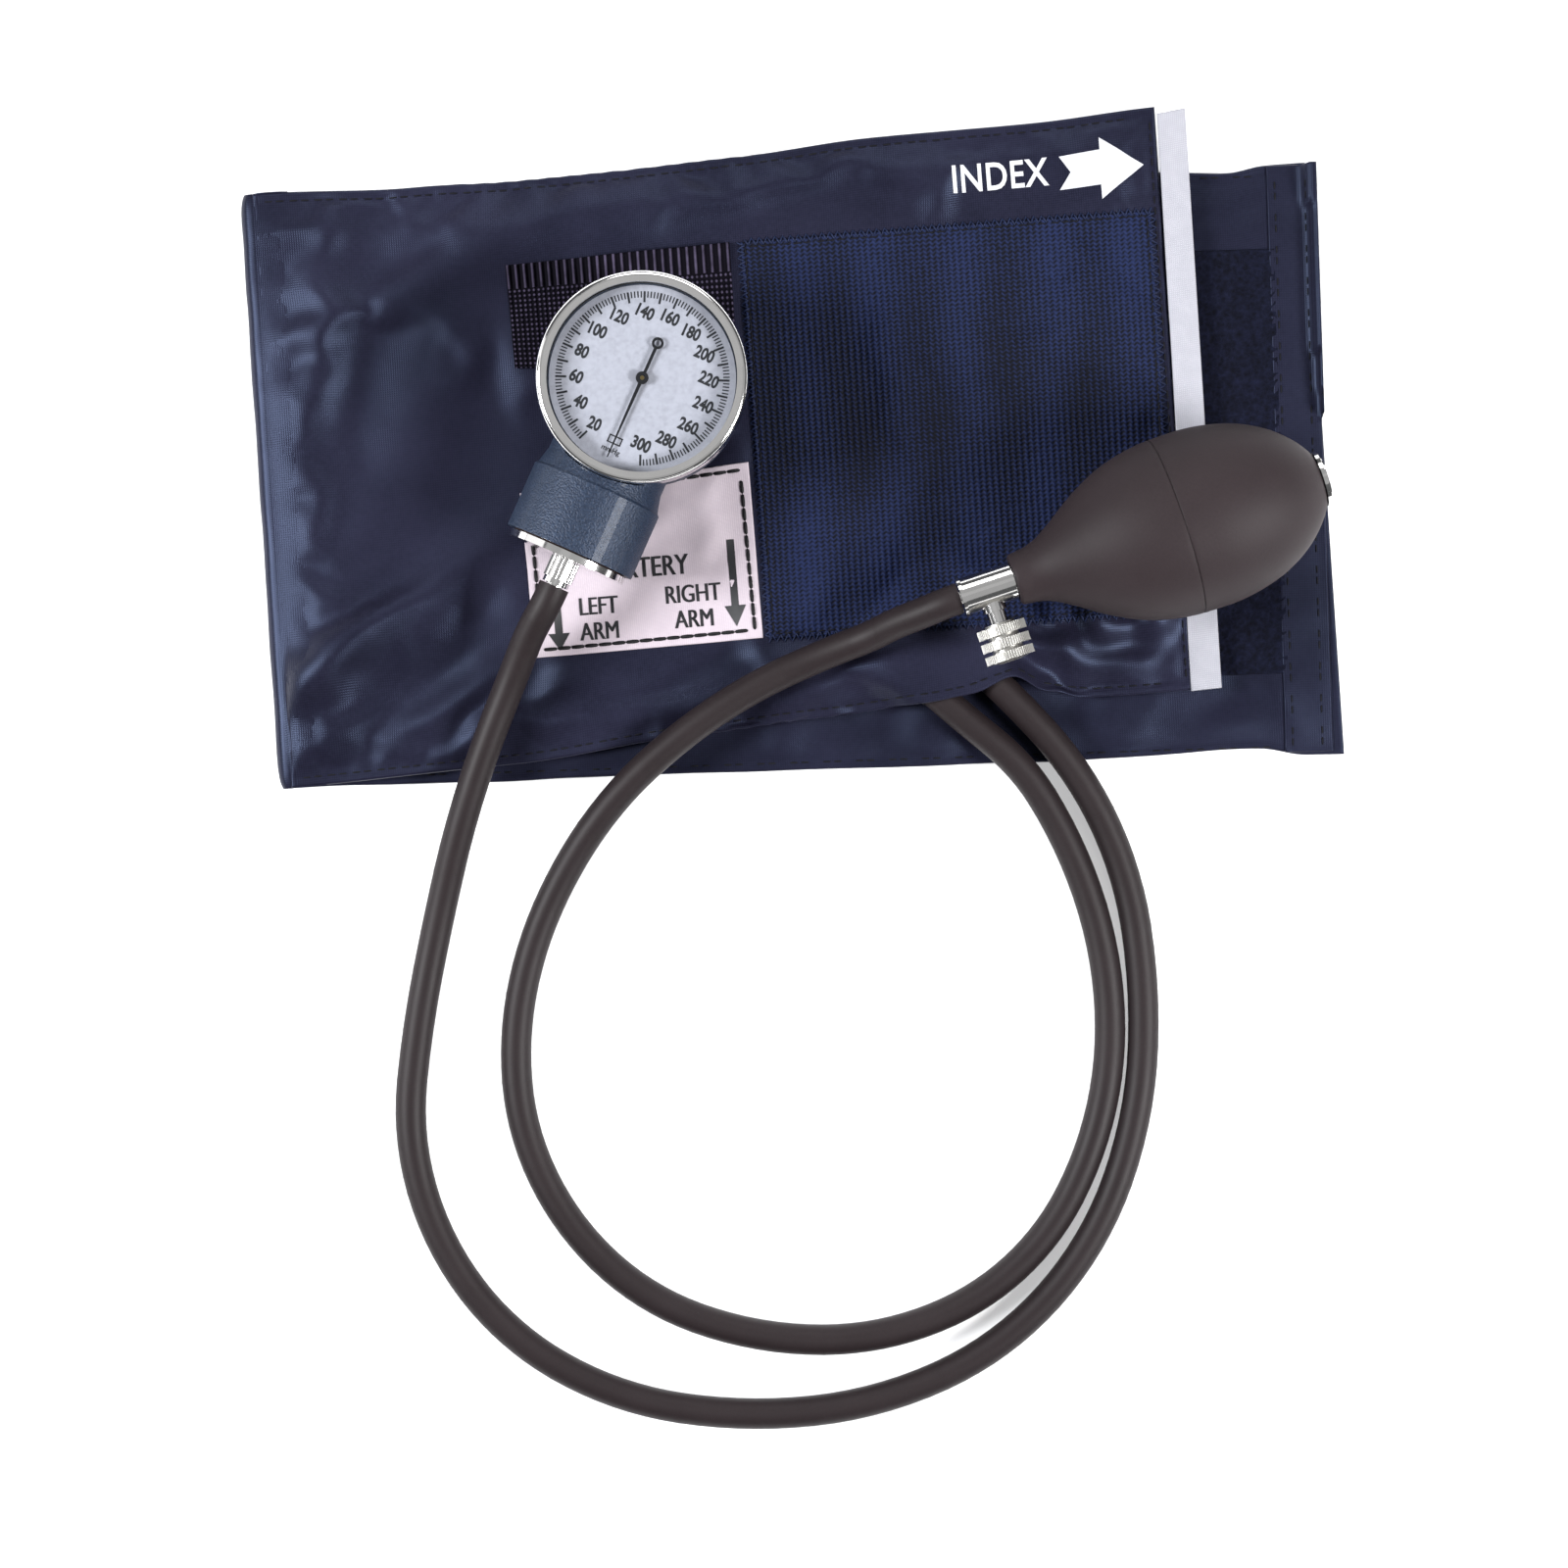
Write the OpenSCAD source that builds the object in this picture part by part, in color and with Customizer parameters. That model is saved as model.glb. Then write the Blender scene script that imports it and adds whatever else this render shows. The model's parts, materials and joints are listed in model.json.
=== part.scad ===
// Aneroid blood pressure cuff folded for storage: nylon cuff with bladder, dial gauge,
// inflation bulb with release valve and two rubber hoses.
// Everything lies on a level surface. The origin is on that surface under the middle of the
// folded cuff, +Z is up, +X runs away from the fold and +Y across the cuff. Millimetres.

/* [Cuff] */
// Width of the cuff across its length
cuff_w = 144; // [140:1:150]
// Length of the bladder end from the fold line to its end seam
bladder_end_len = 220; // [215:1:225]
// Length of the tail from the fold line to its hemmed end
tail_len = 256; // [250:1:262]
// Angle between the fold line and the Y axis
fold_tilt = 3.8; // [3:0.1:5]
// Angle of each layer away from square to the fold line
layer_skew = 1.9; // [1.5:0.1:2.5]
// Thickness of one nylon ply with its backing
ply_t = 0.9; // [0.7:0.05:0.9]
// Thickness of the empty bladder
bladder_t = 1.2; // [0.8:0.1:1.2]
// Radius of the cuff corners
corner_r = 4; // [2:0.5:6]

/* [Hoses] */
// Outer diameter of both hoses
hose_d = 7.4; // [7:0.1:7.4]
// Bore of both hoses
hose_bore = 4; // [3.6:0.1:4.4]

/* [Gauge] */
// Outer diameter of the bezel ring
bezel_d = 49.6; // [49.4:0.1:50]
// Diameter of the capsule drum
drum_d = 32; // [31:0.5:32]
// Angle of the dial, clockwise seen from above
dial_turn = 24; // [20:1:28]
// Gear module of the movement
gear_m = 0.3; // [0.3]
// Teeth of the pinion on the pointer arbor
pinion_teeth = 12; // [12]
// Teeth of the full wheel from which the sector is cut
wheel_teeth = 96; // [96]
// Pressure angle of the movement gears
pressure_angle = 20; // [20]

/* [Bulb and valve] */
// Largest diameter of the bulb
bulb_d = 42.8; // [42:0.2:43]
// Radius of the arc that forms the side of the bulb
bulb_arc = 44.5; // [44:0.5:46]
// Wall thickness of the bulb
bulb_wall = 2.2; // [1.8:0.1:2.4]
// Direction of the bulb axis, counter-clockwise from the X axis
bulb_turn = 18.3; // [17:0.1:19]
// Diameter of the release valve body
valve_d = 8.9; // [8.8:0.1:9.2]
// Diameter of the release knob
knob_d = 11.7; // [11:0.1:12]

/* [Hidden] */

$fn = 96;
gap = 0.05;          // clearance between neighbouring layers and sliding fits
eps = 0.01;          // overrun of a cutter past the face it opens

// stack heights of the folded cuff
tail_outer_z = 0;
tail_inner_z = tail_outer_z + ply_t + gap;
loop_z = tail_inner_z + ply_t + gap;
loop_t = 1.1;
fold_z = loop_z + loop_t + 0.1;
cuff_inner_z = fold_z + 0.1;
bladder_z = cuff_inner_z + ply_t + gap;
cuff_outer_z = bladder_z + bladder_t + gap;
cuff_top = cuff_outer_z + ply_t;
panel_z = cuff_top + gap;
hook_t = 0.9;
strap_t = 1.6;
label_t = 0.35;
index_t = 0.3;

// tunnel under the strap for the tongue of the clip
tunnel_at = [-54, 20];
tunnel_size = [34, 45, 0.8];

// the fold line
fold_mid = [-126.6, -3.1];
fold_gap = 0.3;

// hose sleeves where the hoses enter the bladder
sleeve_turn = 139;
sleeve_z = 7.4;
sleeve_d = 8;
sleeve_len = 9;
sleeve_at = [[41.8, -43.2], [33.9, -51.8]];
window_at = [37.8, -47.5];
window_w = 28;
window_out = 32;
window_in = sleeve_len + 0.3;

// hoses: bands that join the arcs, and the height of a hose that lies on the surface
joint_trim = 0.05;
joint_len = 0.5;
joint_step = 0.03;
rest_z = hose_d / 2 + 0.1;

// gauge
gauge_at = [-35.5, 21];
drum_z = 24;
drum_front = -27.5;
drum_end = -43.6;
case_r = 23.4;
case_floor = 11;
case_top = 37.2;
bezel_base = 34;
cavity_r = 21;
dial_r = 21.9;
dial_z = 35.6;
dial_t = 0.5;
capsule_bore_r = 11.9;
plate_r = 14.6;
plate_t = 1.6;
gasket_r = 14;
stem_end = -52;
neck_drum_r = 14.4;
drum_neck_start = -14;
cone_start = -22.9;
drum_lip = 0.6;
collar_r = 3.6;

// back clip
clip_w = 16;
clip_t = 0.5;
clip_back = -12;
clip_plate_len = 18;
clip_tongue_len = 27;
clip_plate_z = case_floor - 1.6;
clip_screw_x = [-5, 5];

// movement
pinion_r = gear_m * pinion_teeth / 2;
wheel_r = gear_m * wheel_teeth / 2;
centre_dist = pinion_r + wheel_r;
lever_len = 2.5;
shaft_at = [-lever_len, -sqrt(centre_dist * centre_dist - lever_len * lever_len)];
mesh_turn = atan2(-shaft_at[1], -shaft_at[0]);
dial_sweep = 337.5;
sector_sweep = dial_sweep * pinion_teeth / wheel_teeth;
gear_z = 27;
gear_t = 1;
lever_z = drum_z;
lower_plate_z = 21;
upper_plate_z = 30;
movement_plate_t = 1.2;
arbor_r = 0.5;
pillar_at = [[-15, 3], [15, 3], [-9, -17], [10, -15.5]];
shaft_r = 0.8;
pin_r = 0.6;

// bulb and valve
valve_at = [45.7, -27.8];
valve_z = 28.6;
valve_half = 6.2;
barb_r = 1.6;
barb_len = 3.4;
bulb_mid = 50.5;
bulb_tip = 82.2;
neck_start = 6.6;
neck_r = 6.3;
knob_dist = 9.1;
knob_len = 8.7;
knob_discs = [[0, 2.2], [3.2, 2.1], [6.3, 2]];
knob_grooves = 60;
collar_grooves = 20;
collar_groove_r = 0.35;
groove_r = 0.2;

// ---------------------------------------------------------------- helpers

module place_fold() translate([fold_mid[0], fold_mid[1], 0]) rotate(fold_tilt) children();
module place_gauge() translate([gauge_at[0], gauge_at[1], 0]) rotate(-dial_turn) children();
module place_valve() translate([valve_at[0], valve_at[1], valve_z]) rotate(bulb_turn) children();

// turn a shape built along +Z so that it runs along +X, or along -Y
module along_x() rotate([0, 90, 0]) children();
module along_minus_y() rotate([90, 0, 0]) children();

module tube(outer_r, bore_r, len) difference() {
    cylinder(r = outer_r, h = len);
    translate([0, 0, -eps]) cylinder(r = bore_r, h = len + 2 * eps);
}

// outline of one cuff layer, skewed from the fold line, with two rounded end corners
module layer_outline(len, skew) {
    x0 = fold_gap;
    x1 = len * cos(skew);
    y_lo = -cuff_w / 2;
    y_hi = cuff_w / 2;
    rise0 = x0 * tan(skew);
    rise1 = x1 * tan(skew);
    rise_r = (x1 - corner_r) * tan(skew);
    union() {
        polygon([[x0, y_lo + rise0], [x1 - corner_r, y_lo + rise_r],
            [x1 - corner_r, y_hi + rise_r], [x0, y_hi + rise0]]);
        polygon([[x1 - corner_r - 1, y_lo + rise_r + corner_r], [x1, y_lo + rise1 + corner_r],
            [x1, y_hi + rise1 - corner_r], [x1 - corner_r - 1, y_hi + rise_r - corner_r]]);
        translate([x1 - corner_r, y_lo + rise_r + corner_r]) circle(r = corner_r);
        translate([x1 - corner_r, y_hi + rise_r - corner_r]) circle(r = corner_r);
    }
}

module slab(z, t) translate([0, 0, z]) linear_extrude(t) children();

// window at the lower edge where the hoses pass between the plies
module sleeve_window() translate(window_at) rotate(sleeve_turn - 90)
    translate([-window_w / 2, -window_out]) square([window_w, window_out + window_in]);

// ---------------------------------------------------------------- hoses

function unit(v) = v / norm(v);
function heading(h, p) = [cos(h) * cos(p), sin(h) * cos(p), sin(p)];
// equal-length tangent arms of the two arcs that join two stations
function arm(v, a, b) = let (t = a + b, k = 2 * (1 - a * b))
    k < 1e-9 ? v * v / (4 * (v * b))
    : (-(v * t) + sqrt((v * t) * (v * t) + 2 * (1 - a * b) * (v * v))) / k;

// place a shape built along +Z at p so that it runs in direction t
module along(p, t) {
    y = unit(cross(t, abs(t[2]) < 0.9 ? [0, 0, 1] : [1, 0, 0]));
    x = cross(y, t);
    multmatrix([[x[0], y[0], t[0], p[0]], [x[1], y[1], t[1], p[1]],
        [x[2], y[2], t[2], p[2]], [0, 0, 0, 1]]) children();
}

// one circular piece of hose that leaves p in direction t and ends at q
module hose_arc(p, t, q) {
    chord = q - p;
    n = unit(chord - (chord * t) * t);
    bend_r = (chord * chord) / (2 * (chord * n));
    sweep = 2 * atan2(chord * n, chord * t);
    trim = 180 / PI * joint_trim / bend_r;
    c = p + bend_r * n;
    z = cross(-n, t);
    multmatrix([[-n[0], t[0], z[0], c[0]], [-n[1], t[1], z[1], c[1]],
        [-n[2], t[2], z[2], c[2]], [0, 0, 0, 1]]) rotate(trim)
        rotate_extrude(angle = sweep - 2 * trim) translate([bend_r, 0]) difference() {
            circle(d = hose_d);
            circle(d = hose_bore);
        }
}

// short band, a hair thicker than the hose wall, that joins two neighbouring arcs
module hose_joint(p, t) along(p, t) translate([0, 0, -joint_len / 2])
    tube(hose_d / 2 + joint_step, hose_bore / 2 - joint_step, joint_len);

// a run of hose through stations [point, heading, pitch]
module hose(stations) {
    last = len(stations) - 1;
    for (i = [0 : last - 1]) {
        p = stations[i][0];
        q = stations[i + 1][0];
        a = heading(stations[i][1], stations[i][2]);
        b = heading(stations[i + 1][1], stations[i + 1][2]);
        v = q - p;
        d = arm(v, a, b);
        m = (p + q + d * (a - b)) / 2;
        mid_dir = unit(v - d * (a + b));
        hose_arc(p, a, m);
        hose_arc(m, mid_dir, q);
        hose_joint(m, mid_dir);
        if (i < last - 1) hose_joint(q, b);
    }
}

gauge_dir = -90 - dial_turn;
function gauge_point(y, z) = [gauge_at[0] + y * sin(dial_turn), gauge_at[1] + y * cos(dial_turn), z];
gauge_hose_start = gauge_point(stem_end - 0.4, drum_z);
gauge_stations = [
    [gauge_hose_start, gauge_dir, 0],
    [[-64.4, -41.5, 18.2], -113, -25],
    [[-76.5, -72, 10.8], -109, -9],
    [[-88.5, -119, rest_z], -101, 0],
    [[-90, -172, rest_z], -74, 0],
    [[-57, -214.5, rest_z], -30, 0],
    [[4.5, -225.5, rest_z], 6, 0],
    [[61.5, -198, rest_z], 48, 0],
    [[84.5, -137, rest_z], 88, 0],
    [[74, -81, 4.6], 117, 4],
    [[sleeve_at[0][0], sleeve_at[0][1], sleeve_z], sleeve_turn, 0]];
bulb_hose_start = [valve_at[0] - (valve_half + 0.8) * cos(bulb_turn),
    valve_at[1] - (valve_half + 0.8) * sin(bulb_turn), valve_z];
bulb_stations = [
    [bulb_hose_start, 180 + bulb_turn, 0],
    [[27.5, -34.4, 23.6], -161, -30],
    [[14.5, -40, 15.5], -160, -18],
    [[-19, -56.5, 11.6], -146, -3],
    [[-49, -85, 6.9], -125, -10],
    [[-66, -125, rest_z], -100, 0],
    [[-62, -166, rest_z], -67, 0],
    [[-23.5, -203, rest_z], -20, 0],
    [[37.5, -201.5, rest_z], 25, 0],
    [[76.5, -133, rest_z], 90, 0],
    [[60, -77, 5.6], 122, 4],
    [[sleeve_at[1][0], sleeve_at[1][1], sleeve_z], sleeve_turn, 0]];

module gauge_hose() color("#4b4543") hose(gauge_stations);
module bulb_hose() color("#4b4543") hose(bulb_stations);

// ---------------------------------------------------------------- cuff, tail layer

module tail_outer_ply() color("#1c2340") place_fold()
    slab(tail_outer_z, ply_t) layer_outline(tail_len, -layer_skew);

module tail_inner_ply() color("#1c2340") place_fold()
    slab(tail_inner_z, ply_t) layer_outline(tail_len, -layer_skew);

// pile fastener patch on the inner face of the tail
module loop_panel() color("#161a2c") place_fold() rotate(-layer_skew)
    slab(loop_z, loop_t) translate([96, -52]) square([149, 103]);

// folded and stitched edge of the tail
module tail_end_hem() color("#1c2340") place_fold() rotate(-layer_skew)
    slab(loop_z, 0.7) translate([tail_len - 10.5, -cuff_w / 2 + 6]) square([9.5, cuff_w - 12]);

// ---------------------------------------------------------------- cuff, bladder end

module cuff_inner_ply() color("#1c2340") difference() {
    place_fold() slab(cuff_inner_z, ply_t) layer_outline(bladder_end_len, layer_skew);
    slab(cuff_inner_z - 1, ply_t + 2) sleeve_window();
}

module bladder() color("#2b2b2e") difference() {
    place_fold() slab(bladder_z, bladder_t) rotate(layer_skew)
        translate([14, -cuff_w / 2 + 9]) square([bladder_end_len - 24, cuff_w - 18]);
    slab(bladder_z - 1, bladder_t + 2) sleeve_window();
}

module cuff_outer_ply() color("#1c2340") difference() {
    place_fold() slab(cuff_outer_z, ply_t) layer_outline(bladder_end_len, layer_skew);
    slab(cuff_outer_z - 1, ply_t + 2) sleeve_window();
}

// zig-zag knitted hook fastener patch, four corners of a slightly uneven patch
module hook_panel() color("#14204f") difference() {
    slab(panel_z, hook_t) polygon([[-13, 57], [86.2, 65], [92.3, -32.4], [-6, -38.8]]);
    slab(panel_z - 1, hook_t + 2) sleeve_window();
}

// sewn strap that holds the clip of the gauge, with a tunnel under its middle
module gauge_strap() color("#1d1a24") difference() {
    slab(panel_z, strap_t) polygon([[-69.5, 51], [-15.6, 57], [-13.6, 26.7], [-67.3, 26.3]]);
    translate([tunnel_at[0], tunnel_at[1], panel_z - eps]) cube(tunnel_size);
}

module artery_label() color("#cfccd8") slab(panel_z, label_t)
    polygon([[-66.2, -3.6], [-11, 4], [-7.4, -38.6], [-62.3, -43.5]]);

// narrow woven strip sewn along the end seam
module index_strip() color("#cdced9") slab(panel_z + 0.1, index_t)
    polygon([[87.6, 88], [94.4, 89.4], [97.9, 41], [102.6, -33.5], [103.3, -50.6],
        [95.9, -51.4], [95.2, -32], [89.8, 41]]);

// moulded sleeves that carry the hoses into the bladder
module bladder_sleeves() color("#2b2b2e")
    for (at = sleeve_at) translate([at[0], at[1], sleeve_z]) rotate(sleeve_turn) along_x()
        translate([0, 0, gap]) difference() {
            cylinder(d = sleeve_d, h = sleeve_len);
            translate([0, 0, -eps]) cylinder(d = hose_bore, h = sleeve_len - 2);
        }

// ---------------------------------------------------------------- bulb

// side profile of the bulb, x outward and y along the axis, shrunk by the wall inside
module bulb_profile(wall) {
    drop = bulb_arc - bulb_d / 2;
    intersection() {
        translate([-drop, bulb_mid]) circle(r = bulb_arc - wall, $fn = 180);
        translate([0, neck_start + 6]) square([bulb_d, bulb_tip - neck_start - 6]);
    }
}

module bulb() color("#57504d") place_valve() along_x() difference() {
    rotate_extrude() union() {
        bulb_profile(0);
        translate([0, neck_start]) square([neck_r, 16]);
        translate([0, neck_start + 15.9]) square([8.2, 4]);
        translate([0, bulb_tip - 10]) square([7.6, 10]);
    }
    rotate_extrude() union() {
        intersection() {
            bulb_profile(bulb_wall);
            translate([0, neck_start + 20]) square([bulb_d, bulb_tip - neck_start - 32]);
        }
        translate([0, neck_start - 1]) square([3.7, 22]);
        translate([0, bulb_tip - 13]) square([4.7, 14]);
    }
}

module intake_valve_body() color("#c9ccd0") place_valve() along_x() difference() {
    union() {
        translate([0, 0, bulb_tip + 0.05]) cylinder(r = 6.6, h = 0.9);
        translate([0, 0, bulb_tip + 0.9]) cylinder(r = 5.4, h = 0.5);
        translate([0, 0, bulb_tip - 10]) cylinder(r = 4.65, h = 10.1);
    }
    translate([0, 0, bulb_tip - 10.1]) cylinder(r = 3.4, h = 7.1);
    translate([0, 0, bulb_tip - 4]) cylinder(r = 1.2, h = 8);
}

// rubber flap that lets air in and closes when the bulb is squeezed
module intake_valve_disc() color("#8a3a30") place_valve() along_x()
    translate([0, 0, bulb_tip - 3.85]) cylinder(r = 3.33, h = 0.8);

module intake_valve_ring() color("#c9ccd0") place_valve() along_x()
    translate([0, 0, bulb_tip - 7.5]) tube(3.39, 2.2, 1.5);

// ---------------------------------------------------------------- release valve

module release_valve_body() color("#c2c5c9") place_valve() difference() {
    union() {
        translate([-valve_half, 0, 0]) along_x() cylinder(d = valve_d, h = 2 * valve_half);
        translate([-valve_half - 0.6, 0, 0]) along_x() cylinder(d = valve_d + 1, h = 0.8);
        translate([valve_half - 1, 0, 0]) along_x() cylinder(r = 3.6, h = 14);
        translate([-valve_half - barb_len, 0, 0]) along_x() cylinder(r = barb_r, h = barb_len + 1);
        along_minus_y() cylinder(r = 2.9, h = 5.6);
    }
    translate([-valve_half - barb_len - 1, 0, 0]) along_x()
        cylinder(r = 0.9, h = 2 * valve_half + barb_len + 6);
    translate([valve_half, 0, 0]) along_x() cylinder(r = 2.6, h = 14);
    along_minus_y() cylinder(r = 0.9, h = 4);
    translate([0, -2.6, 0]) along_minus_y() cylinder(r = 1.9, h = 4);
}

// flap that keeps the air in the cuff between squeezes
module check_valve_disc() color("#8a3a30") place_valve()
    translate([13.55, 0, 0]) along_x() cylinder(r = 2.53, h = 0.8);

module check_valve_seat() color("#b9975b") place_valve()
    translate([14.4, 0, 0]) along_x() tube(2.59, 1.2, 3);

module gland_bush() color("#c2c5c9") place_valve() translate([0, -4.4, 0])
    along_minus_y() union() {
        translate([0, 0, 1.25]) tube(2.3, 1.25, 2.7);
        tube(1.88, 1.25, 1.3);
    }

module gland_o_ring() color("#202022") place_valve() translate([0, -3.9, 0])
    along_minus_y() rotate_extrude() translate([1.56, 0]) circle(r = 0.3, $fn = 32);

module release_needle() color("#d0d2d5") place_valve() along_minus_y() {
    union() {
        translate([0, 0, 2.65]) cylinder(r = 1.2, h = 8.45);
        translate([0, 0, 1.9]) cylinder(r = 0.7, h = 0.8);
    }
}

// knurled knob made of three milled discs on one core
module release_knob() color("#c9ccd0") place_valve() translate([0, -knob_dist, 0])
    along_minus_y() difference() {
        union() {
            translate([0, 0, -0.6]) cylinder(d = 7.3, h = 0.62);
            cylinder(d = 7.6, h = knob_len - 0.4);
            for (s = knob_discs) translate([0, 0, s[0]]) difference() {
                cylinder(d = knob_d, h = s[1]);
                for (i = [1 : knob_grooves]) rotate(i * 360 / knob_grooves)
                    translate([knob_d / 2 + 0.05, 0, -1])
                        cylinder(r = groove_r, h = s[1] + 2, $fn = 16);
            }
            translate([0, 0, 8.2]) cylinder(d1 = knob_d - 0.9, d2 = 5, h = 0.6);
        }
        translate([0, 0, -1]) cylinder(r = 1.25, h = 3.1);
    }

// ---------------------------------------------------------------- gauge body

// side profile of neck and drum, x outward and y away from the middle of the case
module drum_profile() polygon([[0, -drum_neck_start], [neck_drum_r, -drum_neck_start],
    [neck_drum_r, -cone_start], [drum_d / 2 - drum_lip, -drum_front - drum_lip],
    [drum_d / 2, -drum_front], [drum_d / 2, -drum_end], [0, -drum_end]]);

module gauge_housing() color("#3b5266") place_gauge() difference() {
    union() {
        translate([0, 0, case_floor]) cylinder(r = case_r, h = case_top - case_floor);
        difference() {
            translate([0, 0, drum_z]) along_minus_y() rotate_extrude() drum_profile();
            translate([0, 0, bezel_base - 0.1]) cylinder(r = bezel_d / 2 + 0.2, h = 20);
        }
        translate([0, 0, case_floor - 1]) cylinder(r = 9, h = 2);
    }
    translate([0, 0, case_floor + 2]) cylinder(r = cavity_r, h = 40);
    translate([0, 0, dial_z]) cylinder(r = dial_r + 0.1, h = 4);
    translate([0, drum_end + 14, drum_z]) along_minus_y() cylinder(r = capsule_bore_r, h = 16);
    translate([0, -15, drum_z]) along_minus_y() cylinder(r = 1.5, h = 20);
    for (x = clip_screw_x) translate([x, 0, case_floor - 2]) cylinder(r = 0.8, h = 5);
}

// chromed plate that closes the drum, with the pressure stem through it
module end_plate() color("#cfd2d6") place_gauge() translate([0, drum_end, drum_z])
    along_minus_y() difference() {
        union() {
            translate([0, 0, 0.4]) cylinder(r = plate_r, h = plate_t);
            translate([0, 0, -3]) cylinder(r = capsule_bore_r - 0.01, h = 3.45);
            translate([0, 0, -4.2]) cylinder(r = 2.2, h = 2);
            translate([0, 0, 1.5]) cylinder(r = 2.3, h = 4.5);
        }
        translate([0, 0, -5]) cylinder(r = 0.8, h = 8);
        translate([0, 0, 1.8]) cylinder(r = 1.55, h = 6);
    }

module end_plate_gasket() color("#7a2f26") place_gauge() translate([0, drum_end, drum_z])
    along_minus_y() translate([0, 0, 0.02]) tube(gasket_r, capsule_bore_r + 0.05, 0.36);

// one dished and corrugated capsule shell, rim at height 0, centre hole of radius 1.5
module diaphragm(height) {
    rings = 5;
    rim_r = 10.8;
    step = (rim_r - 3) / (2 * rings);
    wave = [for (i = [0 : 2 * rings]) [rim_r - i * step, height * i / (2 * rings) + (i % 2) * 0.35]];
    t = 0.2;
    rotate_extrude() polygon(concat(wave, [[1.5, height], [1.5, height + t]],
        [for (i = [2 * rings : -1 : 0]) wave[i] + [0, t]]));
}

module outer_diaphragm() color("#c8a45a") place_gauge()
    translate([0, drum_end + 5.9, drum_z]) along_minus_y() diaphragm(1.4);

module inner_diaphragm() color("#c8a45a") place_gauge()
    translate([0, drum_end + 5.95, drum_z]) rotate([-90, 0, 0]) diaphragm(1.4);

// boss soldered to the middle of the inner diaphragm
module capsule_boss() color("#b9975b") place_gauge()
    translate([0, drum_end + 7.2, drum_z]) rotate([-90, 0, 0]) difference() {
        union() {
            cylinder(r = 1.48, h = 0.8);
            translate([0, 0, 0.42]) cylinder(r = 3, h = 1);
        }
        translate([0, 0, 0.9]) cylinder(r = 1.1, h = 2);
    }

rod_start = drum_end + 8.2;
rod_end = shaft_at[1] - lever_len * sin(sector_sweep / 2) - pin_r - gap;
module push_rod() color("#b9975b") place_gauge() translate([0, rod_start, drum_z])
    rotate([-90, 0, 0]) union() {
        cylinder(r = 1, h = rod_end - rod_start - 1.4);
        translate([0, 0, 1]) cylinder(r = 0.45, h = rod_end - rod_start - 1);
    }

// ---------------------------------------------------------------- movement

// flank of one gear tooth: point on the involute at radius r, angle from the tooth centre
function inv_angle(a) = tan(a) * 180 / PI - a;
function flank(r, base_r, half) =
    let (a = r > base_r ? acos(base_r / r) : 0)
    half + inv_angle(pressure_angle) - inv_angle(a);
function tooth(pitch_r, teeth, head, foot, slack) = let (
    base_r = pitch_r * cos(pressure_angle),
    half = 90 / teeth - slack / pitch_r * 90 / PI,
    radii = [for (k = [0 : 4]) let (lo = max(base_r, pitch_r - foot)) lo + (pitch_r + head - lo) * k / 4],
    rise = concat([[pitch_r - foot, flank(base_r, base_r, half)]],
        [for (r = radii) [r, flank(r, base_r, half)]]))
    concat([for (p = rise) [p[0] * cos(-p[1]), p[0] * sin(-p[1])]],
        [for (i = [len(rise) - 1 : -1 : 0]) [rise[i][0] * cos(rise[i][1]), rise[i][0] * sin(rise[i][1])]]);

module pinion_outline() {
    circle(r = pinion_r - 0.36);
    for (i = [0 : pinion_teeth - 1]) rotate(i * 360 / pinion_teeth) difference() {
        polygon(concat([[0.8, -0.05], [0.8, 0.05]], tooth(pinion_r, pinion_teeth, 0.27, 0.37, 0.05)));
        circle(r = 0.7);
    }
}

module lower_movement_plate() color("#b9975b") place_gauge()
    translate([0, 0, lower_plate_z]) difference() {
        movement_outline();
        movement_holes();
    }

module upper_movement_plate() color("#b9975b") place_gauge()
    translate([0, 0, upper_plate_z]) difference() {
        movement_outline();
        movement_holes();
    }

module movement_outline() intersection() {
    cylinder(r = cavity_r - 0.6, h = movement_plate_t);
    translate([-17, -20, -1]) cube([34, 28, 4]);
}

module movement_holes() translate([0, 0, -1]) {
    cylinder(r = arbor_r + 0.04, h = 4);
    translate([shaft_at[0], shaft_at[1], 0]) cylinder(r = shaft_r + 0.04, h = 4);
    for (at = pillar_at) translate([at[0], at[1], 0]) cylinder(r = 0.7, h = 4);
}

pillar_base = lower_plate_z + movement_plate_t;
module movement_pillars() color("#b9975b") place_gauge() for (at = pillar_at)
    translate([at[0], at[1], 0]) difference() {
        union() {
            translate([0, 0, pillar_base]) cylinder(r = 1.5, h = upper_plate_z - pillar_base);
            translate([0, 0, case_floor + 2]) cylinder(r = 1.5, h = lower_plate_z - case_floor - 2);
            translate([0, 0, case_floor + 3]) cylinder(r = 0.69, h = upper_plate_z - case_floor - 4);
        }
        translate([0, 0, upper_plate_z - 4]) cylinder(r = 0.5, h = 5);
    }

module movement_screws() color("#d8d8d8") place_gauge() for (at = pillar_at)
    translate([at[0], at[1], upper_plate_z + movement_plate_t]) difference() {
        union() {
            cylinder(r = 1.3, h = 0.8);
            translate([0, 0, -3]) cylinder(r = 0.49, h = 3.1);
        }
        translate([-1.5, -0.15, 0.45]) cube([3, 0.3, 1]);
    }

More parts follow.
